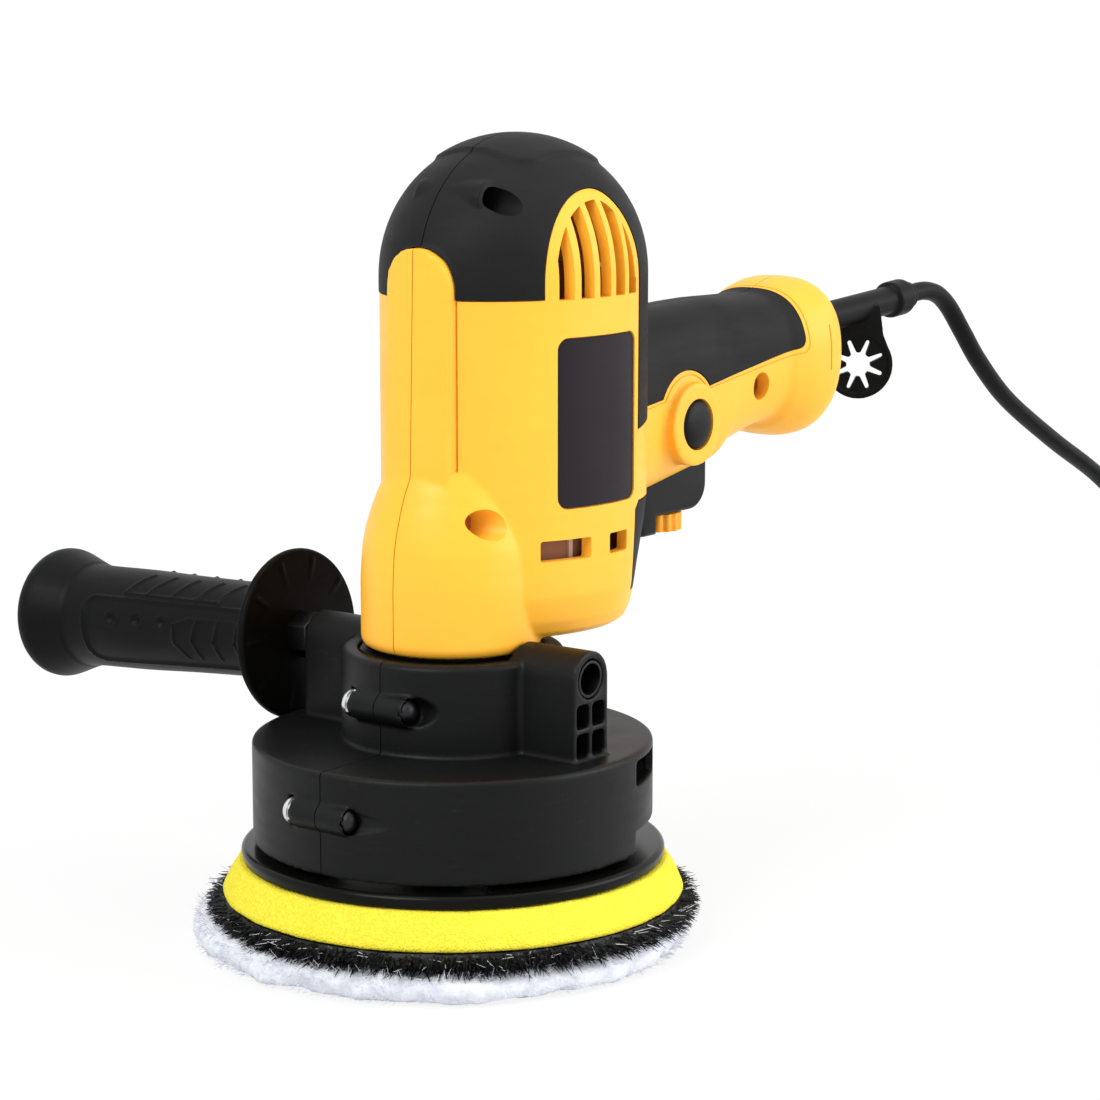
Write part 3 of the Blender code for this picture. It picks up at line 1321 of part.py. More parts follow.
def motor_plate(name, outlines, heights, finish, origin=(MOTOR_X, 0, 0)):
    """A plate drawn about the motor's axis."""
    piece = plate(name, outlines, *heights)
    part(move(piece, Matrix.Translation((MOTOR_X, 0, 0))), finish, origin)


def make_armature():
    shaft_hole = circle((0, 0), SHAFT_RADIUS + GAP, 12)
    outline = []
    for i in range(CORE_SLOTS):
        start = math.tau * i / CORE_SLOTS
        tooth = math.tau / CORE_SLOTS
        outline += arc((0, 0), CORE_RADIUS, start, start + tooth * 0.78, 2)
        outline += arc((0, 0), CORE_RADIUS - 0.0050, start + tooth * 0.82, start + tooth * 0.96, 1)
    motor_plate("armature_core", [outline, shaft_hole], CORE_Z, "steel")
    bars = circle((0, 0), COMMUTATOR_RADIUS, 16)
    motor_plate("commutator", [bars, shaft_hole], COMMUTATOR_Z, "copper")
    low, high = FAN_Z
    blades = []
    for i in range(FAN_BLADES):
        out = Vector((1, 0))
        out.rotate(Matrix.Rotation(math.tau * i / FAN_BLADES, 2))
        side = Vector((-out.y, out.x)) * FAN_BLADE_THICK / 2
        root, tip = out * FAN_HUB_RADIUS, out * (FAN_RADIUS - 0.0010)
        blades += [tuple(corner) for corner in (root - side, tip - side, tip + side, root + side)]
    fan = join(
        plate("fan", [circle((0, 0), FAN_RADIUS, 20)], high - 0.0014, high),
        plate("blades", [blades], low, high - 0.0007),
    )
    shaft = rod("shaft", (0, 0, low - 0.01), (0, 0, high + 0.01), SHAFT_RADIUS + GAP, 12)
    part(move(cut(fan, shaft), Matrix.Translation((MOTOR_X, 0, 0))), "black_plastic", (MOTOR_X, 0, 0))


def make_stator():
    window = []
    for middle in (0, math.pi):
        window += arc((0, 0), STATOR_BORE, middle - POLE_HALF_ANGLE, middle + POLE_HALF_ANGLE, 8)
        side = middle + math.pi / 2
        spread = math.pi / 2 - POLE_HALF_ANGLE
        window += arc((0, 0), STATOR_WINDOW, side - spread, side + spread, 5)
    motor_plate("stator_core", [circle((0, 0), STATOR_RADIUS, 26), window], STATOR_Z, "steel", (0, 0, 0))
    inner, outer = STATOR_BORE + 0.0008, STATOR_WINDOW - GAP
    reach = math.pi / 2 - math.radians(4)
    low, high = STATOR_Z[0] - COIL_END, STATOR_Z[1] + COIL_END
    for name, middle in (("field_coil_front", math.pi), ("field_coil_rear", 0)):
        coil = sector(name, inner, outer, middle - reach, middle + reach, low, high, 6)
        opening = reach - FIELD_COIL_BAR
        gap_low, gap_high = STATOR_Z[0] - GAP, STATOR_Z[1] + GAP
        angles = (middle - opening, middle + opening)
        coil = cut(coil, sector("pole", inner - 0.01, outer + 0.01, *angles, gap_low, gap_high, 6))
        part(move(coil, Matrix.Translation((MOTOR_X, 0, 0))), "copper")


def make_brushes():
    width, length, height = BRUSH_SIZE
    wall = BRUSH_HOLDER_WALL
    for side, word in ((-1, "right"), (1, "left")):
        start = COMMUTATOR_RADIUS + GAP
        low = (MOTOR_X - width / 2, start, BRUSH_Z - height / 2)
        high = (MOTOR_X + width / 2, start + length, BRUSH_Z + height / 2)
        brush = box(f"carbon_brush_{word}", low, high)
        reach = BODY_HALF_WIDTH - HOUSING_WALL - 0.0014
        outer = Vector((width / 2 + wall + GAP, 0, height / 2 + wall + GAP))
        middle = Vector((MOTOR_X, 0, BRUSH_Z))
        holder_low = middle - outer + Vector((0, start + 0.0015, 0))
        holder = box(f"brush_holder_{word}", holder_low, middle + outer + Vector((0, reach, 0)))
        inner = outer - Vector((wall, 0, wall))
        hole = box("hole", middle - inner, middle + inner + Vector((0, FAR, 0)))
        holder = cut(holder, hole)
        flip = Matrix.Scale(side, 4, (0, 1, 0))
        for piece, finish in ((brush, "carbon"), (holder, "bronze")):
            move(piece, flip)
            if side < 0:
                piece.data.flip_normals()
            part(piece, finish)


# Pad stack

def make_backing_plate():
    bore = PAD_BOLT_RADIUS + GAP
    low, high, top = PLATE_Z, PLATE_Z + PLATE_THICK, PLATE_HUB_TOP
    radius = PLATE_RADIUS
    profile = [
        (bore, top),
        (PLATE_HUB_RADIUS, top),
        (PLATE_HUB_RADIUS + 0.0015, high),
        (radius - 0.0015, high),
        (radius, high - 0.0015),
        (radius - 0.0006, low),
        (PAD_BOLT_HEAD_RADIUS + 0.0030, low),
        (PAD_BOLT_HEAD_RADIUS + 0.0030, low + 0.0016),
        (bore, low + 0.0016),
    ]
    disc = turned("backing_plate", profile, 28, ring=True)
    for i in range(PLATE_RIBS):
        half = PLATE_RIB_THICK / 2
        root = (PLATE_HUB_RADIUS - 0.002, -half, high - 0.0020)
        rib = box("rib", root, (radius * 0.80, half, high + PLATE_RIB_HEIGHT))
        for vertex in rib.data.vertices:
            if vertex.co.x > radius / 2 and vertex.co.z > high:
                vertex.co.z = high - 0.0003
        disc = join(disc, move(rib, Matrix.Rotation(math.tau * (i + 0.5) / PLATE_RIBS, 4, "Z")))
    part(disc, "gloss_black")


def make_foam():
    low, high = FOAM_Z, FOAM_Z + FOAM_THICK
    profile = [
        (PAD_HOLE_RADIUS, high),
        (FOAM_UPPER_RADIUS - 0.0008, high),
        (FOAM_UPPER_RADIUS, high - 0.0008),
        (FOAM_LOWER_RADIUS, low + 0.0010),
        (FOAM_LOWER_RADIUS - 0.0010, low),
        (PAD_HOLE_RADIUS, low),
    ]
    part(turned("foam_pad", profile, 32, ring=True), "foam")


def make_hook_ring():
    """The hook face: a disc whose rim is covered with short fibres."""
    rng = random.Random(5)
    low, high = HOOK_Z, HOOK_Z + HOOK_THICK
    bm = bmesh.new()
    walls = []
    for radius, rows in ((HOOK_RADIUS, STRAND_ROWS), (PAD_HOLE_RADIUS, 1)):
        count = STRAND_COLUMNS if rows > 1 else STRAND_COLUMNS // 4
        for row in range(rows + 1):
            ring = bmesh.ops.create_circle(bm, segments=count, radius=radius)["verts"]
            bmesh.ops.translate(bm, vec=(0, 0, low + (high - low) * row / rows), verts=ring)
            walls.append(list({edge for vertex in ring for edge in vertex.link_edges}))
    wall = []
    for first, second in ((0, 1), (1, 2), (3, 4), (0, 3), (2, 4)):
        made = bmesh.ops.bridge_loops(bm, edges=walls[first] + walls[second])["faces"]
        if second <= STRAND_ROWS:
            wall += made
    bmesh.ops.recalc_face_normals(bm, faces=bm.faces)
    triangles = bmesh.ops.triangulate(bm, faces=wall)["faces"]
    tips = bmesh.ops.poke(bm, faces=triangles)["verts"]
    for tip in tips:
        outward = Vector((tip.co.x, tip.co.y, 0)).normalized()
        reach = STRAND_LENGTH * rng.uniform(0.8, 1.0)
        tip.co += outward * reach + Vector((0, 0, rng.uniform(-0.3, 0.05) * reach))
    part(from_bmesh("hook_ring", bm), "hook_fibre")


def make_wool():
    radius, thick = WOOL_RADIUS, WOOL_THICK
    profile = [
        (0, thick),
        (radius * 0.90, thick),
        (radius * 0.965, thick - 0.0008),
        (radius * 0.995, thick - 0.0024),
        (radius, thick * 0.45),
        (radius * 0.985, 0.0012),
        (radius * 0.95, 0.0),
        (0, 0.0),
    ]
    part(turned("wool_pad", profile, 32), "wool")


def make_pad_bolt():
    seat = PLATE_Z + 0.0016 - GAP
    top = PLATE_HUB_TOP + PAD_BOLT_GRIP - 0.0010
    bolt = rod("pad_bolt", (0, 0, seat - PAD_BOLT_HEAD_HEIGHT), (0, 0, seat), PAD_BOLT_HEAD_RADIUS, 6)
    shank = rod("shank", (0, 0, seat - 0.001), (0, 0, top), PAD_BOLT_RADIUS, 16)
    part(join(bolt, shank), "steel")


def clear_scene():
    for obj in list(bpy.data.objects):
        bpy.data.objects.remove(obj)
    collection = bpy.data.collections.new("rotary_polisher")
    bpy.context.scene.collection.children.link(collection)


def make_materials():
    for name, (colour, roughness, metallic) in FINISHES.items():
        material = bpy.data.materials.new(name)
        material.use_nodes = True
        shader = material.node_tree.nodes["Principled BSDF"]
        shader.inputs["Base Color"].default_value = (*colour, 1)
        shader.inputs["Roughness"].default_value = roughness
        shader.inputs["Metallic"].default_value = metallic


clear_scene()
make_materials()
make_housing()
make_label_plate()
make_housing_screws()
make_trigger()
make_speed_dial()
make_lock_button()
make_switch()
make_cord()
make_strain_relief()
make_shroud()
make_clamps()
make_handle_inserts()
make_handle()
make_gears()
make_spindle()
make_gear_case()
make_bearing_plate()
make_bearing("spindle_bearing", 0, SPINDLE_BEARING_Z, SPINDLE_BEARING)
make_bearing("motor_bearing_lower", MOTOR_X, MOTOR_BEARING_LOW_Z, MOTOR_BEARING)
make_bearing("motor_bearing_upper", MOTOR_X, MOTOR_BEARING_HIGH_Z, MOTOR_BEARING)
make_armature()
make_stator()
make_brushes()
make_backing_plate()
make_foam()
make_hook_ring()
make_wool()
make_pad_bolt()
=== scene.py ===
"""Corded rotary polisher: its looks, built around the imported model, in metres."""

import random
from math import atan2, copysign, cos, hypot, pi, radians, sin, sqrt, tau

import bmesh
import bpy
from mathutils import Matrix, Vector, noise


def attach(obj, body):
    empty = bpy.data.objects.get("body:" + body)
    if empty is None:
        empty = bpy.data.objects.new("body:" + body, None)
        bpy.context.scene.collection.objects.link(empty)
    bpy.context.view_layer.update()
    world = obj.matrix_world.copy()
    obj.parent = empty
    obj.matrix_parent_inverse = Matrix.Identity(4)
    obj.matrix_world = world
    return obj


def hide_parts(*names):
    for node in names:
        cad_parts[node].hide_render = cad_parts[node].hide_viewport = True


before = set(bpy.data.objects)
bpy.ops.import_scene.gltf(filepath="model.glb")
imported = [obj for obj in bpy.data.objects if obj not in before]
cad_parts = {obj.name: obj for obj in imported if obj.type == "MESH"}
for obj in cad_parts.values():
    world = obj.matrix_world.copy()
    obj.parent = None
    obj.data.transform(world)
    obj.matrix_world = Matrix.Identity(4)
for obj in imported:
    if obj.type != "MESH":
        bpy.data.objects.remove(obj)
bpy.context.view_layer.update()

# Sides: which way along Y each lies, and its word
SIDES = ((-1, "right"), (1, "left"))

# Sizes, mostly the model's own
GAP = 0.0003
FAR = 0.3
MERGE = 0.000002
DRUM_RADIUS = 0.0542
DRUM_Z = 0.02785
DRUM_TOP = 0.05525
COLLAR_TOP = 0.08005
COLLAR_RADIUS = 0.0300
NECK_RADIUS = 0.0253
SHROUD_WALL = 0.0027
BOSS_REACH = 0.0468
BOSS_HALF_WIDTH = 0.0074
BOSS_BORE_Z = 0.07665
INSERT_RADIUS = 0.0053
INSERT_DEPTH = 0.0143
POCKET_DEPTH = 0.0100
MOTOR_X = 0.0275
BODY_HALF_LENGTH = 0.0405
BODY_HALF_WIDTH = 0.0335
BODY_BOTTOM = 0.0840
FOOT_TOP = 0.0950
DOME_START = 0.1780
DOME_RISE = 0.0372
DOME_POWER = 2.05
DOME_ROWS = 28
DOME_TIP = 0.9985
CROWN_STEP = 0.0008
CROWN_LOW = (0.0098, -0.0170)
CROWN_HIGH = (0.0480, 0.0170)
CROWN_CORNER = 0.0080
NOSE_RADIUS = 0.0245
NOSE_BOTTOM = 0.0806
NOSE_WALL = 0.0027
SPINE_HALF_WIDTH = 0.0108
SPINE_TOP = 0.1876
SPINE_FOOT = 0.1000
SPINE_FRONT = -0.0162
SPINE_SPARE = 0.0022
SPINE_BACK = 0.0060
SPINE_CURVE = 0.0270
SPINE_LEAN = 0.028
SPINE_MIDDLE = 0.1573
SKIN = 0.0016
COVER_PROUD = 0.0002
COVER_REAR = 0.0412
COVER_STEP_Z = 0.1365
COVER_RING = 0.0142
COVER_LOW = 0.1487
COVER_END = 0.1432
COVER_END_TOP = 0.2165
COVER_CORNER = 0.0030
COVER_LIP = 0.0010
GROOVE_WIDTH = 0.0005
GROOVE_DEPTH = 0.0003
HOUSING_WALL = 0.0032
SEAM = 0.0003
CAP_EDGE = 0.1740
VENT_X = 0.0262
VENT_FRONT = 0.0212
VENT_REAR = 0.0152
VENT_FIRST_X = 0.0109
VENT_STEP = 0.0066
VENT_SLOT = 0.0045
VENT_MARGIN = 0.0028
VENT_LOW = 0.1739
VENT_SPRING = 0.1780
VENT_RISE = 0.0240
VENT_DEPTH = 0.0190
LOW_VENTS = ((0.0038, 0.0188), (0.0260, 0.0345))
LOW_VENT_Z = (0.1048, 0.1104)
LOW_VENT_CORNER = 0.0007
LABEL_LOW = (0.0085, 0.1187)
LABEL_HIGH = (0.0385, 0.1637)
LABEL_THICK = 0.0009
LABEL_SUNK = 0.0004
LABEL_CORNER = 0.0030
LOCK_PLACE = (0.0858, 0.1322)
LOCK_RADIUS = 0.0070
LOCK_FACE = 0.0217
LOCK_HEIGHT = 0.0062
LOCK_RING_RADIUS = 0.0119
LOCK_RING_FACE = 0.0206
LOCK_RING_BACK = 0.0100
RING_EDGE = 0.0008
TRIGGER_SLOT = ((0.0736, -0.0094, 0.1000), (0.1077, 0.0094, 0.1293))
TRIGGER_STEP_Z = 0.1048
DIAL_X = 0.0933
DIAL_RADIUS = 0.0080
DIAL_THICK = 0.0052
DIAL_RIBS = 16
DIAL_RIB_DEPTH = 0.0007
POINTS_A_RIB = 8
SLEEVE_START = (0.1600, 0, 0.1518)
SLEEVE_END = (0.2325, 0, 0.1567)
SLEEVE_BORE = 0.0051
TAB_PLACE = (0.2034, 0, 0.1370)
TAB_TURN = radians(-52)
HANDLE_DROOP = radians(3.0)
HANDLE_LENGTH = 0.0905
GUARD_FACE = 0.0080
GUARD_RADIUS = 0.0240
WOOL_RADIUS = 0.0665
WOOL_THICK = 0.0078
HOOK_Z = 0.0081
HOOK_THICK = 0.0043
HOOK_RADIUS = 0.0630
PAD_BORE = 0.0110
FOAM_Z = 0.0127
FOAM_THICK = 0.0095
PLATE_Z = 0.0225
PLATE_THICK = 0.0037
PLATE_RADIUS = 0.0575

# Lower body: height, how far it is drawn in all round, and how far more at the rear
BODY_FOOT = (
    (0.0829, 0.0084, 0.0080),
    (0.0835, 0.0056, 0.0080),
    (0.0851, 0.0030, 0.0082),
    (0.0882, 0.0014, 0.0086),
    (0.0922, 0.0005, 0.0088),
    (0.0950, 0.0000, 0.0090),
    (0.1000, 0.0000, 0.0067),
    (0.1050, 0.0000, 0.0043),
    (0.1100, 0.0000, 0.0020),
    (0.1165, 0.0000, 0.0000),
)

# Nose: radius and height of its sloping top, down to where it is straight
NOSE_TOP = (
    (0.0110, 0.1330),
    (0.0152, 0.1293),
    (0.0172, 0.1272),
    (0.0193, 0.1233),
    (0.0212, 0.1184),
    (0.0228, 0.1132),
    (0.0238, 0.1085),
    (0.0242, 0.1040),
    (0.0245, 0.0985),
)

# Grip: distance along X, lowest and highest point, half width
GRIP_SECTIONS = (
    (0.0360, 0.1096, 0.1628, 0.0180),
    (0.0620, 0.1102, 0.1634, 0.0180),
    (0.0985, 0.1158, 0.1648, 0.0172),
    (0.1085, 0.1172, 0.1650, 0.0170),
    (0.1135, 0.1210, 0.1650, 0.0170),
    (0.1345, 0.1258, 0.1645, 0.0174),
    (0.1405, 0.1232, 0.1650, 0.0190),
    (0.1470, 0.1210, 0.1671, 0.0209),
    (0.1545, 0.1206, 0.1685, 0.0217),
    (0.1600, 0.1214, 0.1677, 0.0208),
    (0.1646, 0.1246, 0.1644, 0.0180),
    (0.1676, 0.1305, 0.1595, 0.0138),
)
GRIP_POWER = 2.6
END_LEAN = 0.0034
LEAN_START = 0.1470
LEAN_RUN = 0.0110
END_START = 0.1545
END_RUN = 0.0131

# Screw wells: x, z, how far from y = 0 the bottom is, and how far in X the mouth leans
SCREW_WELLS = (
    (0.0008, 0.1996, 0.0070, 0.0),
    (-0.0120, 0.1158, 0.0110, 0.0040),
    (0.1232, 0.1392, 0.0105, 0.0),
)
WELL_MOUTH = 0.0225
SCREW_WELL_RADIUS = 0.0041
TOP_BOSS_RADIUS = 0.0052
TOP_BOSS_WALL = 0.0015
TOP_BOSS_ENDS = (-0.0132, 0.0090)
POST_RADIUS = 0.0058

# Cord: the route out of the sleeve, and the coil that it ends in
CORD_DIAMETER = 0.0060
CORD_ROUTE = (
    (0.2330, 0.1568),
    (0.2425, 0.1573),
    (0.2512, 0.1555),
    (0.2590, 0.1506),
    (0.2684, 0.1415),
    (0.2800, 0.1304),
    (0.2996, 0.1158),
    (0.3326, 0.0983),
    (0.3680, 0.0810),
    (0.4020, 0.0590),
    (0.4290, 0.0370),
    (0.4530, 0.0190),
    (0.4760, 0.0085),
    (0.5000, 0.0046),
)
COIL_TURNS = 2.8
COIL_MIDDLE_RADIUS = 0.0418
COIL_PITCH = 0.0065
COIL_RISE = 0.0065
COIL_POINTS_A_TURN = 30
COIL_Z = 0.0046
COIL_CHANGE = 0.5

# Camera, floor and light; each sun has its turn in degrees, strength and spread in degrees
CAMERA_PLACE = (-0.6545, -0.5345, 0.2551)
CAMERA_TURN = (radians(79.98), 0, radians(-52.55))
CAMERA_LENS = 104.72
FLOOR_GLOW = 0.85
WORLD_LIGHT = 0.60
SUNS = (
    ("key", (48, 0, -90), 1.80, 35),
    ("top", (12, 0, 20), 0.80, 60),
    ("side", (74, 0, 34), 2.20, 50),
)


# Shapes in the making

def linked(data, name="blank"):
    """A new object in the scene for a mesh, a curve, a lamp or a camera."""
    obj = bpy.data.objects.new(name, data)
    bpy.context.scene.collection.objects.link(obj)
    return obj


def as_object(bm, name="blank"):
    mesh = bpy.data.meshes.new(name)
    bm.to_mesh(mesh)
    bm.free()
    return linked(mesh, name)


def loose(bm, name="blank"):
    """An object for a shape that is still being made, with its faces pointing outwards."""
    bmesh.ops.remove_doubles(bm, verts=bm.verts, dist=MERGE)
    bmesh.ops.recalc_face_normals(bm, faces=bm.faces)
    return as_object(bm, name)


def remove(obj):
    mesh = obj.data
    bpy.data.objects.remove(obj)
    bpy.data.meshes.remove(mesh)


def applied(obj):
    """The object with its modifiers made part of its mesh."""
    bpy.context.view_layer.update()
    graph = bpy.context.evaluated_depsgraph_get()
    mesh = bpy.data.meshes.new_from_object(obj.evaluated_get(graph))
    obj.modifiers.clear()
    old = obj.data
    obj.data = mesh
    bpy.data.meshes.remove(old)
    return obj


def combine(target, operation, others):
    for other in others:
        modifier = target.modifiers.new("combine", "BOOLEAN")
        modifier.operation = operation
        modifier.solver = "MANIFOLD"
        modifier.object = other
    applied(target)
    for other in others:
        remove(other)
    return target


def cut(target, *others):
    return combine(target, "DIFFERENCE", others)


def join(target, *others):
    return combine(target, "UNION", others)


def keep(target, *others):
    return combine(target, "INTERSECT", others)


def copy(obj):
    return linked(obj.data.copy())


def moved(obj, matrix):
    obj.data.transform(matrix)
    return obj


def together(*objects):
    """Shells that overlap, put in one mesh without joining them."""
    bm = bmesh.new()
    for obj in objects:
        bm.from_mesh(obj.data)
        remove(obj)
    return as_object(bm)


def moulded(obj, grid, rounds):
    """Overlapping shells drawn as one closed skin on a fine grid, with softened edges."""
    remesh = obj.modifiers.new("skin", "REMESH")
    remesh.mode = "VOXEL"
    remesh.voxel_size = grid
    soften = obj.modifiers.new("soften", "SMOOTH")
    soften.factor = 0.5
    soften.iterations = rounds
    return applied(obj)


def block(low, high):
    low, high = Vector(low), Vector(high)
    bm = bmesh.new()
    bmesh.ops.create_cube(bm, size=1)
    bmesh.ops.scale(bm, vec=high - low, verts=bm.verts)
    bmesh.ops.translate(bm, vec=(low + high) / 2, verts=bm.verts)
    return loose(bm)


def round_rims(bm, depth, edge, segments):
    """Rounds the edges around both ends of a shape that stands along Z."""
    rims = [e for e in bm.edges if abs(e.verts[0].co.z - e.verts[1].co.z) < depth / 2]
    bmesh.ops.bevel(bm, geom=rims, offset=edge, affect="EDGES", segments=segments, profile=0.5, material=-1)


def rod(start, end, radius, sides=48, end_radius=None, edge=0):
    """A cylinder or cone between two points, with its rims rounded by an edge."""
    start, end = Vector(start), Vector(end)
    bm = bmesh.new()
    tip = radius if end_radius is None else end_radius
    depth = (end - start).length
    bmesh.ops.create_cone(bm, cap_ends=True, segments=sides, radius1=radius, radius2=tip, depth=depth)
    if edge:
        round_rims(bm, depth, edge, 5)
    turn = Vector((0, 0, 1)).rotation_difference(end - start).to_matrix().to_4x4()
    bm.transform(Matrix.Translation((start + end) / 2) @ turn)
    return loose(bm)


def pin(x, z, start, end, radius, sides=40, edge=0):
    """A rod along Y."""
    return rod((x, start, z), (x, end, z), radius, sides, edge=edge)


def turned(profile, steps=128, ring=False):
    """A profile of radius and height turned about Z. A ring's profile is closed on itself."""
    bm = bmesh.new()
    points = [bm.verts.new((radius, 0, height)) for radius, height in profile]
    edges = [bm.edges.new(pair) for pair in zip(points, points[1:])]
    if ring:
        edges.append(bm.edges.new((points[-1], points[0])))
    bmesh.ops.spin(
        bm, geom=points + edges, cent=(0, 0, 0), axis=(0, 0, 1), angle=tau, steps=steps, use_merge=True
    )
    return loose(bm)


# Turn a shape drawn in X and Y so that it is seen from the side as X and Z, or from the front as Y and Z
TO_SIDE = Matrix(((1, 0, 0, 0), (0, 0, -1, 0), (0, 1, 0, 0), (0, 0, 0, 1)))
TO_FRONT = Matrix(((0, 0, 1, 0), (1, 0, 0, 0), (0, 1, 0, 0), (0, 0, 0, 1)))


def prism(outline, low, high, turn=Matrix.Identity(4), edge=0):
    """An outline in X and Y drawn out from low to high, then turned."""
    bm = bmesh.new()
    face = bm.faces.new([bm.verts.new((x, y, low)) for x, y in outline])
    drawn = bmesh.ops.extrude_face_region(bm, geom=[face])["geom"]
    top = [item for item in drawn if isinstance(item, bmesh.types.BMVert)]
    bmesh.ops.translate(bm, vec=(0, 0, high - low), verts=top)
    if edge:
        round_rims(bm, high - low, edge, 4)
    bm.transform(turn)
    return loose(bm)


def side_prism(outline, side, near, far):
    """An outline seen from the side, drawn out on one side from near to far of y = 0."""
    ends = sorted((side * near, side * far))
    return prism(outline, -ends[1], -ends[0], TO_SIDE)


def skin(rings):
    """A closed form through rings of as many points each."""
    bm = bmesh.new()
    loops = []
    for ring in rings:
        made = bmesh.ops.create_circle(bm, segments=len(ring), radius=1)["verts"]
        for vertex, place in zip(made, ring):
            vertex.co = place
        loops.append(list({edge for vertex in made for edge in vertex.link_edges}))
    for first, second in zip(loops, loops[1:]):
        bmesh.ops.bridge_loops(bm, edges=first + second)
    for end in (loops[0], loops[-1]):
        bmesh.ops.contextual_create(bm, geom=end)
    return loose(bm)


def arc(centre, radius, start, end, count):
    radius_x, radius_y = radius if isinstance(radius, tuple) else (radius, radius)
    angles = [start + (end - start) * i / count for i in range(count + 1)]
    return [(centre[0] + radius_x * cos(a), centre[1] + radius_y * sin(a)) for a in angles]


def rounded_rectangle(low, high, radius, count=8):
    corners = (
        (high[0] - radius, high[1] - radius),
        (low[0] + radius, high[1] - radius),
        (low[0] + radius, low[1] + radius),
        (high[0] - radius, low[1] + radius),
    )
    points = []
    for i, corner in enumerate(corners):
        points += arc(corner, radius, i * pi / 2, (i + 1) * pi / 2, count)
    return points


def smooth_through(points, steps):
    """Points on a smooth curve through others, with steps between each two."""
    route = [Vector(point) for point in points]
    route = [2 * route[0] - route[1]] + route + [2 * route[-1] - route[-2]]
    fine = []
    for a, b, c, d in zip(route, route[1:], route[2:], route[3:]):
        for i in range(steps):
            t = i / steps
            square, cube = 2 * a - 5 * b + 4 * c - d, 3 * b - a - 3 * c + d
            fine.append(0.5 * (2 * b + (c - a) * t + square * t**2 + cube * t**3))
    return fine + [route[-2]]


def ramp(value, start, run):
    """Nought up to a start, then rising to one over a run."""
    return min(1, max(0, (value - start) / run))


def eased(share):
    """A share from nought to one that leaves and arrives gently."""
    return share * share * (3 - 2 * share)


# Finishes

class Wire:
    """A socket in a tree of nodes. Arithmetic on it adds maths nodes."""

    def __init__(self, nodes, socket):
        self.nodes = nodes
        self.socket = socket

    def maths(self, operation, first, second):
        return self.nodes.node("ShaderNodeMath", {"operation": operation}, {0: first, 1: second})

    def __add__(self, other):
        return self.maths("ADD", self, other)

    def __sub__(self, other):
        return self.maths("SUBTRACT", self, other)

    def __rsub__(self, other):
        return self.maths("SUBTRACT", other, self)

    def __mul__(self, other):
        return self.maths("MULTIPLY", self, other)

    __radd__ = __add__
    __rmul__ = __mul__


class Nodes:
    """A tree of nodes and the ways to add to it."""

    def __init__(self, tree):
        self.tree = tree

    def feed(self, socket, value):
        if isinstance(value, Wire):
            self.tree.links.new(value.socket, socket)
        else:
            socket.default_value = value

    def node(self, kind, settings=None, inputs=None, output=0):
        made = self.tree.nodes.new(kind)
        for name, value in (settings or {}).items():
            setattr(made, name, value)
        for name, value in (inputs or {}).items():
            self.feed(made.inputs[name], value)
        return Wire(self, made.outputs[output])

    def between(self, value, low, high):
        """Value moved from the range low to high onto 0 to 1, and held there."""
        inputs = {"Value": value, "From Min": low, "From Max": high}
        return self.node("ShaderNodeMapRange", {"clamp": True}, inputs)

    def seen_directly(self):
        """One for what the camera sees itself, in a reflection or through glass, else nought."""
        rays = [self.node("ShaderNodeLightPath", output=name)
                for name in ("Is Camera Ray", "Is Glossy Ray", "Is Transmission Ray")]
        return self.between(rays[0] + rays[1] + rays[2], 0, 1)


class Finish(Nodes):
    """A material with the nodes that draw it."""

    def __init__(self, name, **settings):
        self.material = bpy.data.materials.new(name)
        self.material.use_nodes = True
        super().__init__(self.material.node_tree)
        self.shader = self.tree.nodes["Principled BSDF"]
        for socket, value in settings.items():
            self.shader.inputs[socket.replace("_", " ")].default_value = value
        self.place = self.node("ShaderNodeTexCoord", output="Object")

    def stretched(self, scale):
        return self.node("ShaderNodeMapping", None, {"Vector": self.place, "Scale": scale})

    def noise(self, scale, detail=2.0, place=None, roughness=0.5):
        inputs = {"Vector": place or self.place, "Scale": scale, "Detail": detail, "Roughness": roughness}
        return self.node("ShaderNodeTexNoise", None, inputs)

    def blend(self, share, first, second):
        """One colour turning into another."""
        ends = [colour if isinstance(colour, Wire) else (*colour, 1) for colour in (first, second)]
        return self.node("ShaderNodeMix", {"data_type": "RGBA"}, {0: share, 6: ends[0], 7: ends[1]}, 2)

    def look(self, colour, roughness, height=None, depth=0.0001):
        self.feed(self.shader.inputs["Base Color"], colour)
        self.feed(self.shader.inputs["Roughness"], roughness)
        if height is not None:
            bump = self.node("ShaderNodeBump", None, {"Height": height, "Distance": depth, "Strength": 1.0})
            self.feed(self.shader.inputs["Normal"], bump)
        return self.material


def plastic(name, colour, shade, rough, grain, depth, specular=0.5, streaks=0.0):
    """Moulded plastic: a fine spark grain, faint flow marks and a slightly uneven gloss."""
    finish = Finish(name, Specular_IOR_Level=specular)
    fine = finish.noise(grain, 3.0)
    wide = finish.noise(38, 3.0)
    flow = finish.noise(60, 4.0, finish.stretched((1, 1, 6)))
    share = finish.between(wide * 0.6 + flow * 0.4, 0.32, 0.68)
    tone = finish.blend(share, colour, shade)
    if streaks:
        scuffs = finish.between(finish.noise(160, 5.0, finish.stretched((1, 1, 9)), 0.65), 0.60, 0.78)
        pale = tuple(min(1, 1.6 * c + 0.01) for c in colour)
        tone = finish.blend(scuffs * streaks, tone, pale)
    roughness = rough - 0.06 + 0.12 * share + 0.08 * (fine - 0.5)
    return finish.look(tone, roughness, fine * 0.8 + wide * 0.2, depth)


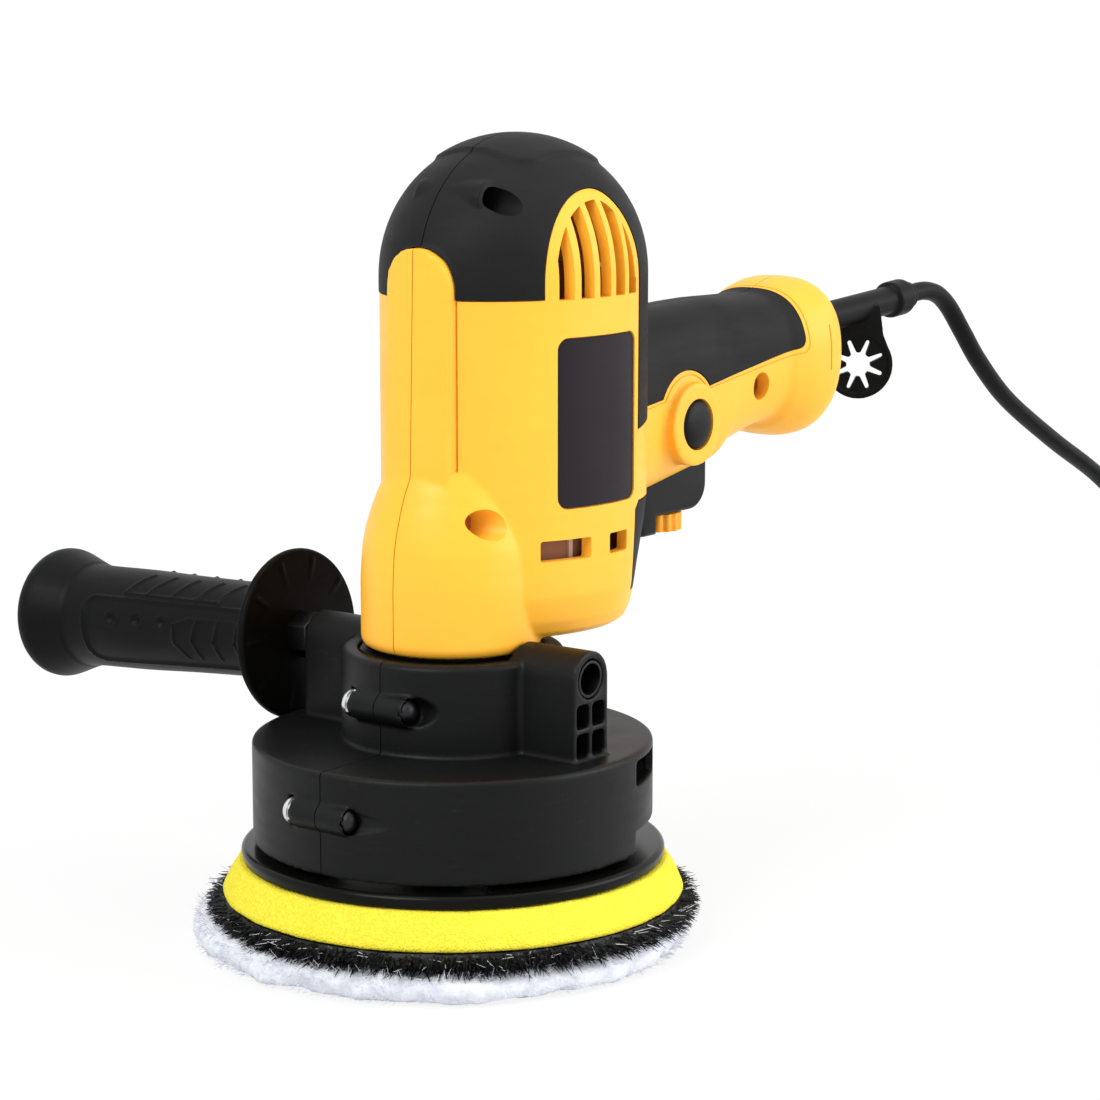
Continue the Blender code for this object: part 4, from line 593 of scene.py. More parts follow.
def metal(name, colour, rough, along, scale=420):
    """Turned or drawn metal: fine tool marks across it and a little stain."""
    finish = Finish(name, Metallic=1.0)
    marks = finish.noise(scale, 3.0, finish.stretched(along))
    stain = finish.between(finish.noise(90, 4.0), 0.42, 0.75)
    tone = finish.blend(stain * 0.5, colour, tuple(c * 0.55 for c in colour))
    return finish.look(tone, rough - 0.05 + 0.16 * marks + 0.1 * stain, marks, 0.00004)


def foam_finish():
    """Open-cell foam: small round pits, painted darker inside as shade."""
    finish = Finish("yellow_foam", Specular_IOR_Level=0.15)
    cells = finish.node("ShaderNodeTexVoronoi", None, {"Vector": finish.place, "Scale": 1500})
    pore_pits_and_shade = finish.between(cells, 0.10, 0.62)
    lumps = finish.noise(140, 3.0)
    # Painted shade: the pits, which the bump also sinks, get the darker colour as shade inside them; the
    # same mask also sets roughness and bump.
    tone = finish.blend(pore_pits_and_shade, (0.82, 0.68, 0.030), (0.84, 0.74, 0.058))
    tone = finish.blend(finish.between(lumps, 0.35, 0.75) * 0.35, tone, (0.82, 0.69, 0.034))
    return finish.look(tone, 0.80 + 0.1 * pore_pits_and_shade, pore_pits_and_shade + lumps * 0.5, 0.00020)


def wool_finish():
    """Bleached pile: crimped fibres, with a painted bluish shade where the tufts sink low."""
    finish = Finish("white_pile", Specular_IOR_Level=0.2, Sheen_Weight=0.35, Sheen_Roughness=0.5)
    crimp = finish.noise(900, 4.0, None, 0.7)
    tufts = finish.noise(260, 3.0)
    tuft_shade_mask = finish.between(tufts * 0.6 + crimp * 0.4, 0.36, 0.58)
    # Painted shade: where tufts and crimp sink low, the colour turns to the darker bluish grey, standing for
    # shade between the tufts.
    tone = finish.blend(tuft_shade_mask, (0.62, 0.65, 0.73), (0.80, 0.82, 0.88))
    return finish.look(tone, 0.9, crimp + tufts, 0.0005)


def fibre_finish():
    """Stiff nylon fibres, a few of them paler than the rest."""
    finish = Finish("hook_fibre", Specular_IOR_Level=0.22)
    pick = finish.between(finish.noise(700, 1.0), 0.65, 0.70)
    tone = finish.blend(pick, (0.005, 0.005, 0.006), (0.07, 0.07, 0.08))
    return finish.look(tone, 0.45 + 0.2 * pick)


# Plastics: name, colour, its darker shade, roughness, scale and depth of the grain, gloss and scuffs
PLASTICS = {
    "yellow_plastic": ("yellow_moulding", (1.0, 0.505, 0.040), (1.0, 0.465, 0.033),
                       0.40, 2600, 0.00003, 0.30),
    "soft_black": ("soft_cover", (0.0072, 0.0073, 0.0078), (0.0052, 0.0053, 0.0058),
                   0.60, 3400, 0.00006, 0.16),
    "black_plastic": ("satin_black", (0.0046, 0.0049, 0.0050), (0.0031, 0.0033, 0.0034),
                      0.42, 2800, 0.00006, 0.15, 0.50),
    "deep_black": ("deep_black", (0.0030, 0.0030, 0.0028), (0.0022, 0.0022, 0.0020),
                   0.50, 2800, 0.00004, 0.06),
    "gloss_black": ("gloss_black", (0.0030, 0.0030, 0.0025), (0.0022, 0.0022, 0.0018),
                    0.22, 900, 0.00001, 0.10),
    "label_grey": ("label_foil", (0.0145, 0.0100, 0.0141), (0.0122, 0.0085, 0.0119),
                   0.42, 1800, 0.00002, 0.13),
    "orange_plastic": ("orange_moulding", (1.0, 0.42, 0.015), (0.95, 0.36, 0.012),
                       0.42, 2400, 0.00003, 0.40),
    "brown_board": ("brown_board", (0.30, 0.14, 0.085), (0.24, 0.11, 0.065),
                    0.70, 1200, 0.00005, 0.15),
    "pale_board": ("pale_board", (0.62, 0.46, 0.42), (0.54, 0.40, 0.36),
                   0.70, 1200, 0.00005, 0.15),
    "rubber": ("black_rubber", (0.0034, 0.0036, 0.0037), (0.0024, 0.0025, 0.0026),
               0.44, 2200, 0.00006, 0.09),
    # red_brown is painted shade: it goes on the screw heads low in the yellow wells and stands for the
    # red-orange light thrown around inside them.
    "red_brown": ("red_brown", (0.30, 0.060, 0.010), (0.24, 0.045, 0.008),
                  0.60, 1800, 0.00003, 0.10),
    "carbon": ("carbon_brush", (0.020, 0.020, 0.021), (0.012, 0.012, 0.013),
               0.78, 1600, 0.00006),
}

# Metals: name, colour, roughness, stretch and scale of the tool marks
METALS = {
    "steel": ("dull_steel", (0.42, 0.42, 0.43), 0.36, (1, 1, 12)),
    "black_steel": ("black_steel", (0.035, 0.035, 0.037), 0.34, (1, 8, 1)),
    "bright_steel": ("bright_steel", (0.78, 0.78, 0.79), 0.22, (1, 8, 1)),
    "aluminium": ("cast_aluminium", (0.55, 0.55, 0.56), 0.48, (3, 3, 1), 300),
    "bronze": ("bronze", (0.45, 0.28, 0.10), 0.42, (1, 1, 10)),
    "copper": ("copper_winding", (0.55, 0.22, 0.09), 0.40, (6, 6, 1), 500),
}
FINISHES = {"foam": foam_finish(), "hook_fibre": fibre_finish(), "wool": wool_finish()}
FINISHES.update({slot: plastic(*facts) for slot, facts in PLASTICS.items()})
FINISHES.update({slot: metal(*facts) for slot, facts in METALS.items()})


def piece(obj, name, finish, *nodes, body="housing", sharp=38, slot=None):
    """A finished piece: named, painted, riding on its body and standing for its nodes."""
    obj.name = name
    obj.data.name = name
    obj.data.materials.clear()
    obj.data.materials.append(FINISHES[finish])
    obj.data.shade_smooth()
    obj.data.set_sharp_from_angle(angle=radians(sharp))
    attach(obj, body)
    if nodes:
        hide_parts(*nodes)
    return obj


def refined(node, name, finish, edge, slot=None):
    """A copy of a plain node with its points merged and its edges rounded."""
    bm = bmesh.new()
    bm.from_mesh(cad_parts[node].data)
    bmesh.ops.remove_doubles(bm, verts=bm.verts, dist=MERGE)
    bmesh.ops.dissolve_limit(bm, angle_limit=radians(1), verts=bm.verts, edges=bm.edges)
    obj = loose(bm)
    bevel = obj.modifiers.new("round", "BEVEL")
    bevel.width = edge
    bevel.segments = 3
    bevel.limit_method = "ANGLE"
    bevel.angle_limit = radians(40)
    return piece(applied(obj), name, finish, node, slot=slot)


# Camera, light and floor

def make_stage():
    camera = linked(bpy.data.cameras.new("camera"), "camera")
    camera.location = CAMERA_PLACE
    camera.rotation_euler = CAMERA_TURN
    camera.data.lens = CAMERA_LENS
    camera.data.clip_start = 0.01
    scene = bpy.context.scene
    scene.camera = camera
    scene.view_settings.view_transform = "Standard"
    for name, turn, strength, spread in SUNS:
        lamp = bpy.data.lights.new(name, "SUN")
        lamp.energy = strength
        lamp.angle = radians(spread)
        sun = linked(lamp, name)
        sun.rotation_euler = [radians(angle) for angle in turn]
    scene.world = bpy.data.worlds.new("studio")
    scene.world.use_nodes = True
    nodes = Nodes(scene.world.node_tree)
    sky = nodes.tree.nodes["Background"]
    sky.inputs["Color"].default_value = (1, 1, 1, 1)
    nodes.feed(sky.inputs["Strength"], WORLD_LIGHT + (1 - WORLD_LIGHT) * nodes.seen_directly())
    bm = bmesh.new()
    bmesh.ops.create_grid(bm, x_segments=1, y_segments=1, size=40)
    floor = loose(bm, "floor")
    floor.location.z = -0.0006
    floor.data.materials.append(floor_finish())


def floor_finish():
    finish = Finish("pale_floor", Specular_IOR_Level=0.0)
    finish.look(finish.blend(finish.noise(3, 2.0), (0.80, 0.80, 0.80), (0.84, 0.84, 0.84)), 0.9)
    glow = finish.node("ShaderNodeEmission", None, {"Color": (1, 1, 1, 1), "Strength": 1.0})
    surface = Wire(finish, finish.shader.outputs[0])
    share = finish.seen_directly() * FLOOR_GLOW
    mixed = finish.node("ShaderNodeMixShader", None, {0: share, 1: surface, 2: glow})
    finish.feed(finish.tree.nodes["Material Output"].inputs["Surface"], mixed)
    return finish.material


# Cord

def coil_points():
    """A spiral in and out again on a second layer, with its ends leading straight off."""
    count = round(2 * COIL_TURNS * COIL_POINTS_A_TURN)
    outer = COIL_MIDDLE_RADIUS + COIL_PITCH * COIL_TURNS / 2
    centre = Vector((CORD_ROUTE[-1][0] + 2 * CORD_DIAMETER, -outer, COIL_Z))
    points = []
    for i in range(count + 1):
        turn = i / COIL_POINTS_A_TURN
        layer_turn = min(turn, 2 * COIL_TURNS - turn)
        radius = outer - COIL_PITCH * layer_turn
        rise = COIL_RISE * eased(ramp(turn, COIL_TURNS - COIL_CHANGE / 2, COIL_CHANGE))
        angle = pi / 2 - tau * turn
        points.append(centre + Vector((radius * cos(angle), radius * sin(angle), rise)))
    last = points[-1] - points[-2]
    last.z = 0
    last = last.normalized() * CORD_DIAMETER
    return points + [points[-1] + last, points[-1] + 2 * last]


def make_cord():
    route = smooth_through([(x, 0, z) for x, z in CORD_ROUTE], 8)
    points = route + coil_points()
    curve = bpy.data.curves.new("mains_lead", "CURVE")
    curve.dimensions = "3D"
    curve.bevel_depth = CORD_DIAMETER / 2
    curve.bevel_resolution = 6
    curve.use_fill_caps = True
    spline = curve.splines.new("POLY")
    spline.points.add(len(points) - 1)
    for point, place in zip(spline.points, points):
        point.co = (*place, 1)
    spline.use_smooth = True
    cord = linked(curve, "mains_lead")
    curve.materials.append(FINISHES["rubber"])
    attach(cord, "housing")
    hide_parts("power_cord", "cord_coil")
    plug = refined("plug", "mains_plug", "rubber", 0.0010)
    tie = refined("cord_tie", "coil_tie", "rubber", 0.0003)


# Housing

def dome_share(share):
    return (1 - share**DOME_POWER) ** (1 / DOME_POWER)


def body_shell(inset, sides=120):
    """The motor body, drawn in towards its foot and domed at the top."""
    half_x, half_y = BODY_HALF_LENGTH - inset, BODY_HALF_WIDTH - inset
    rows = []
    for height, drawn, rear in BODY_FOOT:
        lift = inset * max(0, 1 - (height - BODY_BOTTOM) / (FOOT_TOP - BODY_BOTTOM))
        rows.append((height + lift, half_x - drawn, half_y - drawn, rear))
    for i in range(DOME_ROWS):
        share = DOME_TIP * sin(pi / 2 * i / (DOME_ROWS - 1))
        size = dome_share(share)
        rows.append((DOME_START + (DOME_RISE - inset) * share, half_x * size, half_y * size, 0))
    rings = []
    for height, radius_x, radius_y, rear in rows:
        outline = arc((MOTOR_X, 0), (radius_x, radius_y), 0, tau * (1 - 1 / sides), sides - 1)
        rings.append([(x - rear * max(0, x - MOTOR_X) / radius_x, y, height) for x, y in outline])
    return skin(rings)


def crown_shell(inset):
    """The raised patch on top of the dome."""
    patch = prism(rounded_rectangle(CROWN_LOW, CROWN_HIGH, CROWN_CORNER), DOME_START, FAR)
    return keep(patch, body_shell(inset - CROWN_STEP))


def nose_shell(inset):
    """The round nose over the gears, sloping in where it meets the spine."""
    radius, bottom = NOSE_RADIUS - inset, NOSE_BOTTOM + inset
    profile = [(0, NOSE_TOP[0][1] + 0.008)] + [(out - inset, height) for out, height in NOSE_TOP]
    profile += [(radius, bottom + 0.0022), (radius - 0.0007, bottom + 0.0007), (radius - 0.0020, bottom)]
    return turned(profile + [(0, bottom)], 120)


def spine_outline(grow):
    half = SPINE_HALF_WIDTH + grow
    spring = SPINE_TOP - SPINE_HALF_WIDTH
    return [(-half, SPINE_FOOT), (half, SPINE_FOOT)] + arc((0, spring), half, 0, pi, 32)


def spine_shell(inset):
    """The tall tongue down the front, whose face is curved from side to side."""
    spine = prism(spine_outline(-inset), SPINE_FRONT - SPINE_SPARE, SPINE_BACK, TO_FRONT)
    axis = SPINE_FRONT + SPINE_CURVE
    low, high = (axis, 0, SPINE_FOOT - SPINE_CURVE), (axis, 0, SPINE_TOP + SPINE_CURVE)
    spine = keep(spine, rod(low, high, SPINE_CURVE - inset, 128))
    for vertex in spine.data.vertices:
        vertex.co.x += SPINE_LEAN * (vertex.co.z - SPINE_MIDDLE)
    return spine


def grip_shell(inset, sides=72):
    """The grip, whose sections are between an ellipse and a rectangle, closed by a leaning end."""
    rings = []
    for x, low, high, half_width in smooth_through(GRIP_SECTIONS, 5):
        middle, half_height = (low + high) / 2, (high - low) / 2 - inset
        ring = []
        for i in range(sides):
            turn = tau * i / sides
            across, up = cos(turn), sin(turn)
            y = copysign(abs(across) ** (2 / GRIP_POWER), across) * (half_width - inset)
            z = copysign(abs(up) ** (2 / GRIP_POWER), up) * half_height
            lean = END_LEAN * ramp(x, LEAN_START, LEAN_RUN) * max(0, -up)
            ring.append((x - lean - inset * ramp(x, END_START, END_RUN), y, middle + z))
        rings.append(ring)
    return skin(rings)


def housing_form(inset, grid, rounds):
    """The whole housing as one skin, an inset below its surface."""
    forms = (body_shell, crown_shell, nose_shell, spine_shell, grip_shell)
    shells = [form(inset) for form in forms]
    if inset <= 0:
        shells.append(pin(*LOCK_PLACE, -LOCK_RING_FACE, -LOCK_RING_BACK, LOCK_RING_RADIUS, 72, RING_EDGE))
        shells.append(pin(*SCREW_WELLS[0][:2], *TOP_BOSS_ENDS, TOP_BOSS_RADIUS, 48, RING_EDGE))
    return moulded(together(*shells), grid, rounds)


def cover_block(shrink):
    """The space that the dark cover takes, as a block seen from the side."""
    x, z = LOCK_PLACE
    front, rear = VENT_FRONT + shrink, VENT_REAR + shrink
    apex, rise = (VENT_X, VENT_SPRING), VENT_RISE + shrink
    outline = [(-FAR, CAP_EDGE + shrink), (VENT_X - front, CAP_EDGE + shrink)]
    outline += arc(apex, (front, rise), pi, pi / 2, 24)
    outline += arc(apex, (rear, rise), pi / 2, 0, 24)
    rear, end, corner = COVER_REAR + shrink, COVER_END - shrink, COVER_CORNER
    outline += [(rear + 0.0003, CAP_EDGE), (rear, COVER_STEP_Z + shrink)]
    outline += arc((x - 0.0010, z + 0.0010), COVER_RING + shrink, radians(150), radians(38), 28)
    outline += arc((end - corner, COVER_LOW + corner + shrink), corner, -pi / 2, 0, 8)
    outline += [(end - corner / 2, COVER_END_TOP), (end, FAR), (-FAR, FAR)]
    region = prism(outline, -FAR, FAR, TO_SIDE)
    return cut(region, prism(spine_outline(shrink), -FAR, SPINE_BACK, TO_FRONT))


def tail_block(shrink):
    """The space that the rear pad takes, which reaches round to the side of the body."""
    low, middle, high = 0.0925 + shrink, 0.1122 - shrink, 0.1172 - shrink
    outline = [(0.0392 + shrink, low), (0.0396 + shrink, 0.1150), (0.0420 + shrink, high)]
    outline += [(0.0600, high), (0.0600, middle), (FAR, middle), (FAR, low)]
    return prism(outline, -FAR, FAR, TO_SIDE)


def label_outline(grow):
    low = (LABEL_LOW[0] - grow, LABEL_LOW[1] - grow)
    high = (LABEL_HIGH[0] + grow, LABEL_HIGH[1] + grow)
    return rounded_rectangle(low, high, LABEL_CORNER + grow)


def arch_height(x, margin):
    """Height of the arch over the vents, a margin inside its edge."""
    half = (VENT_FRONT if x < VENT_X else VENT_REAR) - margin
    return VENT_SPRING + (VENT_RISE - margin) * sqrt(max(0, 1 - ((x - VENT_X) / half) ** 2))


def vent_slots():
    """Five slots that fill the arch and two low ones, through the wall on each side."""
    outlines = []
    for i in range(5):
        start = VENT_FIRST_X + i * VENT_STEP - VENT_SLOT / 2
        across = [start + VENT_SLOT * (1 - j / 8) for j in range(9)]
        top = [(x, arch_height(x, VENT_MARGIN)) for x in across]
        outlines.append([(start, VENT_LOW), (start + VENT_SLOT, VENT_LOW)] + top)
    low, high = LOW_VENT_Z
    for start, end in LOW_VENTS:
        outlines.append(rounded_rectangle((start, low), (end, high), LOW_VENT_CORNER, 4))
    return [side_prism(outline, side, VENT_DEPTH, FAR / 4) for outline in outlines for side, _ in SIDES]


def cover_groove():
    """A fine groove around the dark cover on the grip, a lip's width away from it."""
    outside = cover_block(-COVER_LIP - GROOVE_WIDTH)
    ring = cut(outside, cover_block(-COVER_LIP), grip_shell(GROOVE_DEPTH))
    return keep(ring, block((0.0600, -FAR, 0), (0.1500, FAR, FAR)))


def end_slit():
    """A short slit beside the rim of the grip's end."""
    return cut(block((0.1534, -0.03, 0.1415), (0.1540, 0, 0.1550)), grip_shell(0.0006))


def make_vent_liner():
    """The ribbed board that shows through the front low vent."""
    for name, finish, out, spans in (
        ("vent_board", "brown_board", 0.0052, ((0.0010, 0.0210),)),
        ("vent_board_ribs", "pale_board", 0.0046, ((0.0046, 0.0076), (0.0160, 0.0172))),
    ):
        strips = [block((start, -FAR, 0.1042), (end, 0, 0.1110)) for start, end in spans]
        board = keep(together(*strips), body_shell(out))
        piece(cut(board, body_shell(0.0064)), name, finish, slot="bronze")


def well_axis(index):
    """From well outside the housing to the bottom of a screw's well."""
    x, z, bottom, lean = SCREW_WELLS[index]
    slope = lean / (WELL_MOUTH - bottom)
    return (x + slope * (FAR / 4 - bottom), -FAR / 4, z), (x, -bottom, z)


def screw_wells():
    """Round wells for the screws."""
    radii = (TOP_BOSS_RADIUS - TOP_BOSS_WALL, SCREW_WELL_RADIUS, SCREW_WELL_RADIUS)
    return [rod(*well_axis(i), radius, 40) for i, radius in enumerate(radii)]


def spine_groove():
    """A fine line along each side of the spine, where it leaves the body."""
    ring = cut(prism(spine_outline(0.0004), -FAR, SPINE_BACK, TO_FRONT),
               prism(spine_outline(-0.0001), -FAR, FAR, TO_FRONT), body_shell(0.0008))
    return keep(ring, block((-FAR, -FAR, NOSE_TOP[1][1]), (FAR, FAR, FAR)))


def screw_boss(form, index, radius):
    """A solid post around a screw's well, ending in the housing's outer face."""
    x, z, _, lean = SCREW_WELLS[index]
    post = pin(x, z, -FAR / 4, FAR / 4, radius)
    if lean:
        post = join(post, rod(*well_axis(index), radius, 40))
    return keep(post, copy(form))


def half_block(side):
    low = SEAM / 2 if side > 0 else -FAR
    high = FAR if side > 0 else -SEAM / 2
    return block((-FAR, low, -FAR), (2 * FAR, high, 2 * FAR))


def make_housing():
    form = housing_form(0, 0.00065, 2)
    under = housing_form(SKIN, 0.0014, 3)
    inner = housing_form(HOUSING_WALL, 0.0018, 3)
    neck = rod((0, 0, NOSE_BOTTOM - 0.01), (0, 0, NOSE_BOTTOM + 0.02), NOSE_RADIUS - NOSE_WALL, 96)
    taken = cut(cover_block(0), copy(under))
    tail_taken = cut(tail_block(0), copy(under))
    shell = cut(copy(form), taken, tail_taken, inner, neck, *vent_slots())
    shell = cut(shell, block(*TRIGGER_SLOT), rod(SLEEVE_START, SLEEVE_END, SLEEVE_BORE, 40))
    shell = join(shell, screw_boss(form, 1, POST_RADIUS), screw_boss(form, 2, POST_RADIUS))
    shell = cut(shell, screw_boss(form, 0, TOP_BOSS_RADIUS + GAP), cover_groove(), end_slit(),
                spine_groove())
    cover = cut(keep(housing_form(-COVER_PROUD, 0.00070, 2), cover_block(GAP)), copy(under))
    cover = join(cover, screw_boss(form, 0, TOP_BOSS_RADIUS))
    tail = cut(keep(form, tail_block(GAP)), under)
    for side, word in SIDES:
        half = keep(copy(shell), half_block(side))
        cover_half = keep(copy(cover), half_block(side))
        if side < 0:
            button_hole = pin(*LOCK_PLACE, -FAR / 4, -LOCK_RING_BACK, LOCK_RADIUS + 0.0004, 64)
            recess = cut(prism(label_outline(GAP), 0, FAR, TO_SIDE), body_shell(LABEL_THICK + GAP))
            half = cut(half, button_hole, recess, *screw_wells())
            cover_half = cut(cover_half, *screw_wells())
        piece(half, "shell_" + word, "yellow_plastic", "housing_" + word)
        piece(cover_half, "cover_" + word, "soft_black", "overmould_" + word)
        tail_half = keep(copy(tail), half_block(side))
        piece(tail_half, "tail_cover_" + word, "soft_black", "tail_pad_" + word)
    for left_over in (shell, cover, tail):
        remove(left_over)
    label = keep(prism(label_outline(0), 0, FAR, TO_SIDE), body_shell(LABEL_SUNK))
    label = cut(label, body_shell(LABEL_THICK))
    piece(label, "bare_plate", "label_grey", "label_plate")
    make_vent_liner()


# Controls

def make_trigger():
    front, rear, top, low = 0.0740, 0.1072, 0.1223, 0.0996
    step_x, step_z = 0.0825, TRIGGER_STEP_Z
    outline = [(front, top)] + arc((front + 0.0030, low + 0.0030), 0.0030, pi, 1.5 * pi, 8)
    outline += [(step_x, low), (step_x, step_z)]
    outline += arc((rear - 0.0075, step_z + 0.0075), 0.0075, 1.5 * pi, tau, 12) + [(rear, top)]
    trigger = prism(outline, -0.0090, 0.0090, TO_SIDE, edge=0.0016)
    stem = rod((DIAL_X, 0, step_z - 0.01), (DIAL_X, 0, step_z + 0.0040), 0.0029, 32)
    well = rod((DIAL_X, 0, step_z - 0.01), (DIAL_X, 0, step_z + GAP), 0.0086, 64)
    piece(cut(trigger, stem, well), "trigger_key", "black_plastic", "trigger", body="trigger")


def make_dial():
    """The ribbed wheel that sets the speed."""
    outline = []
    count = DIAL_RIBS * POINTS_A_RIB
    for i in range(count):
        turn = tau * i / count
        radius = DIAL_RADIUS - DIAL_RIB_DEPTH * abs(sin(turn * DIAL_RIBS / 2)) ** 3
        outline.append((DIAL_X + radius * cos(turn), radius * sin(turn)))
    high = TRIGGER_STEP_Z - 0.0004
    dial = prism(outline, high - DIAL_THICK, high, edge=0.0004)
    stem = rod((DIAL_X, 0, high - 0.001), (DIAL_X, 0, high + 0.0035), 0.0025, 32)
    piece(join(dial, stem), "speed_wheel", "orange_plastic", "speed_dial", body="speed_dial")


def make_lock_button():
    profile = [(0, LOCK_HEIGHT), (0.0020, 0.00615), (0.0042, 0.0059), (0.0057, 0.0055), (0.0065, 0.0050)]
    profile += [(0.0069, 0.0044), (LOCK_RADIUS, 0.0038), (LOCK_RADIUS, 0), (0, 0)]
    x, z = LOCK_PLACE
    place = Matrix.Translation((x, LOCK_HEIGHT - LOCK_FACE, z)) @ Matrix.Rotation(pi / 2, 4, "X")
    button = moved(turned(profile, 72), place)
    piece(button, "lock_stud", "black_plastic", "lock_button", body="lock_button")


def make_sleeve():
    """The cord's sleeve: tapered, with an end collar and a hanging tab that holds a key in a star hole."""
    start, end = Vector(SLEEVE_START), Vector(SLEEVE_END)
    along = (end - start).normalized()
    sleeve = rod(start, end, 0.0048, 48, 0.0044)
    collar = rod(end - along * 0.0125, end - along * 0.0030, 0.0058, 48, edge=0.0016)
    flange = rod(start - along * 0.0004, start + along * 0.0030, 0.0072, 48)
    neck, shoulder, top = 0.0065, 0.0095, start.z + 0.0040 - TAB_PLACE[2]
    outline = arc((0, 0), 0.0108, radians(150), radians(390), 40)
    outline += [(neck + 0.0012, shoulder), (neck, top), (-neck, top), (-neck - 0.0012, shoulder)]
    star = []
    inner, outer, root, tip = 0.0037, 0.0082, 0.0009, 0.0006
    for i in range(8):
        turn = tau * (i + 0.5) / 8
        out = Vector((cos(turn), sin(turn)))
        side = Vector((-out.y, out.x))
        star += [out * inner - side * root, out * outer - side * tip]
        star += [out * outer + side * tip, out * inner + side * root]
    hollows = [pin(0, 0, side * 0.0030, side * 0.0014, 0.0093, 48) for side, _ in SIDES]
    tab = cut(prism(outline, -0.0020, 0.0020, TO_SIDE), prism(star, -0.01, 0.01, TO_SIDE), *hollows)
    moved(tab, Matrix.Translation(TAB_PLACE) @ Matrix.Rotation(TAB_TURN, 4, "Z"))
    whole = moulded(join(sleeve, collar, flange, tab), 0.00032, 3)
    piece(whole, "cord_sleeve", "rubber", "strain_relief")


# Shroud

CLAMPS = (("drum", 0.0525, 0.04335), ("collar", 0.0289, 0.06775))

# Hollow that leads a driver to each clamp's screw: its two ends in X and Y, and its radius at each
DRIVER_HOLLOWS = {
    "drum": ((0.0559, -0.0100), 0.0042, (0.0503, -0.0250), 0.0009),
    "collar": ((0.0289, -0.0100), 0.0042, (0.0279, -0.0250), 0.0016),
}
NUT_SEAT = 0.0077
NUT_FACE = 0.0099
NUT_RADIUS = 0.0036
HEAD_ROOM = 0.0036
NUT_CAP_RADIUS = 0.0037


def boss_outline():
    half = BOSS_HALF_WIDTH
    low = DRUM_TOP - SHROUD_WALL / 2
    return [(-half, low), (half, low)] + arc((0, BOSS_BORE_Z), half, 0, pi, 40)


def sector(inner, outer, start, end, low, high):
    outline = arc((0, 0), outer, start, end, 24) + arc((0, 0), inner, end, start, 24)
    return prism(outline, low, high)


def handle_frame(side):
    place = Matrix.Translation((0, side * BOSS_REACH, BOSS_BORE_Z))
    return place @ Matrix.Rotation(-side * (pi / 2 + HANDLE_DROOP), 4, "X")


def boss_cutters(side):
    """The thread's bore and the four pockets below it."""
    cutters = [moved(rod((0, 0, -INSERT_DEPTH), (0, 0, 0.01), INSERT_RADIUS, 48), handle_frame(side))]
    wall = 0.0014
    low, cross, top = 0.0561, 0.0632, BOSS_BORE_Z - 0.0064
    for x0, x1 in ((-BOSS_HALF_WIDTH + wall, -wall / 2), (wall / 2, BOSS_HALF_WIDTH - wall)):
        for z0, z1 in ((low, cross - wall / 2), (cross + wall / 2, top)):
            outline = rounded_rectangle((x0, z0), (x1, z1), 0.0006, 4)
            cutters.append(side_prism(outline, side, BOSS_REACH - POCKET_DEPTH, BOSS_REACH + 0.01))
    return cutters


def clamp_cutters():
    """Room for each clamp's screw, nut and driver."""
    cutters = []
    for end in (-1, 1):
        for name, reach, height in CLAMPS:
            x = end * reach
            start, wide, stop, narrow = DRIVER_HOLLOWS[name]
            hollow = ((end * start[0], start[1], height), (end * stop[0], stop[1], height))
            cutters += [
                pin(x, height, -0.0074, -0.0101, HEAD_ROOM),
                rod(*hollow, wide, 40, narrow),
                pin(x, height, -0.0110, 0.0110, 0.0021, 24),
                pin(x, height, NUT_SEAT - GAP, 0.0101, NUT_RADIUS + GAP, 6),
                pin(x, height, NUT_FACE, 0.0123, NUT_CAP_RADIUS + GAP),
            ]
    return cutters


def neck_bore():
    return rod((0, 0, DRUM_Z), (0, 0, COLLAR_TOP + 0.02), NECK_RADIUS, 180)


def make_shroud():
    edge, wall = 0.0010, SHROUD_WALL
    profile = [
        (NECK_RADIUS, COLLAR_TOP),
        (COLLAR_RADIUS - edge, COLLAR_TOP),
        (COLLAR_RADIUS, COLLAR_TOP - edge),
        (COLLAR_RADIUS, DRUM_TOP),
        (DRUM_RADIUS - edge, DRUM_TOP),
        (DRUM_RADIUS - edge * 0.3, DRUM_TOP - edge * 0.3),
        (DRUM_RADIUS, DRUM_TOP - edge),
        (DRUM_RADIUS, DRUM_Z),
        (DRUM_RADIUS - wall, DRUM_Z),
        (DRUM_RADIUS - wall, DRUM_TOP - wall),
        (NECK_RADIUS, DRUM_TOP - wall),
    ]
    shroud = turned(profile, 180, ring=True)
    bosses = cut(prism(boss_outline(), -BOSS_REACH, BOSS_REACH, TO_SIDE), neck_bore())
    posts = []
    for end in (-1, 1):
        for _, reach, height in CLAMPS:
            posts.append(pin(end * reach, height, -0.0100, 0.0100, 0.0041, 48, 0.0014))
    shroud = cut(join(join(shroud, bosses), *posts), neck_bore())
    shroud = cut(shroud, *clamp_cutters(), *boss_cutters(-1), *boss_cutters(1))
    windows = []
    for side, _ in SIDES:
        for start, end, low, high in (
            (-77, -56, DRUM_TOP - wall - 0.0064, DRUM_TOP - wall + 0.0004),
            (-77, -28, DRUM_Z - 0.01, DRUM_Z + 0.0062),
        ):
            angles = (radians(start) * -side, radians(end) * -side)
            windows.append(sector(DRUM_RADIUS - 0.0067, DRUM_RADIUS + 0.004, *angles, low, high))
    shroud = moulded(cut(shroud, *windows), 0.00056, 2)
    for side, word in SIDES:
        half = keep(copy(shroud), half_block(side))
        piece(half, "shroud_half_" + word, "black_plastic", "shroud_" + word)
    remove(shroud)
    make_clamp_screws()


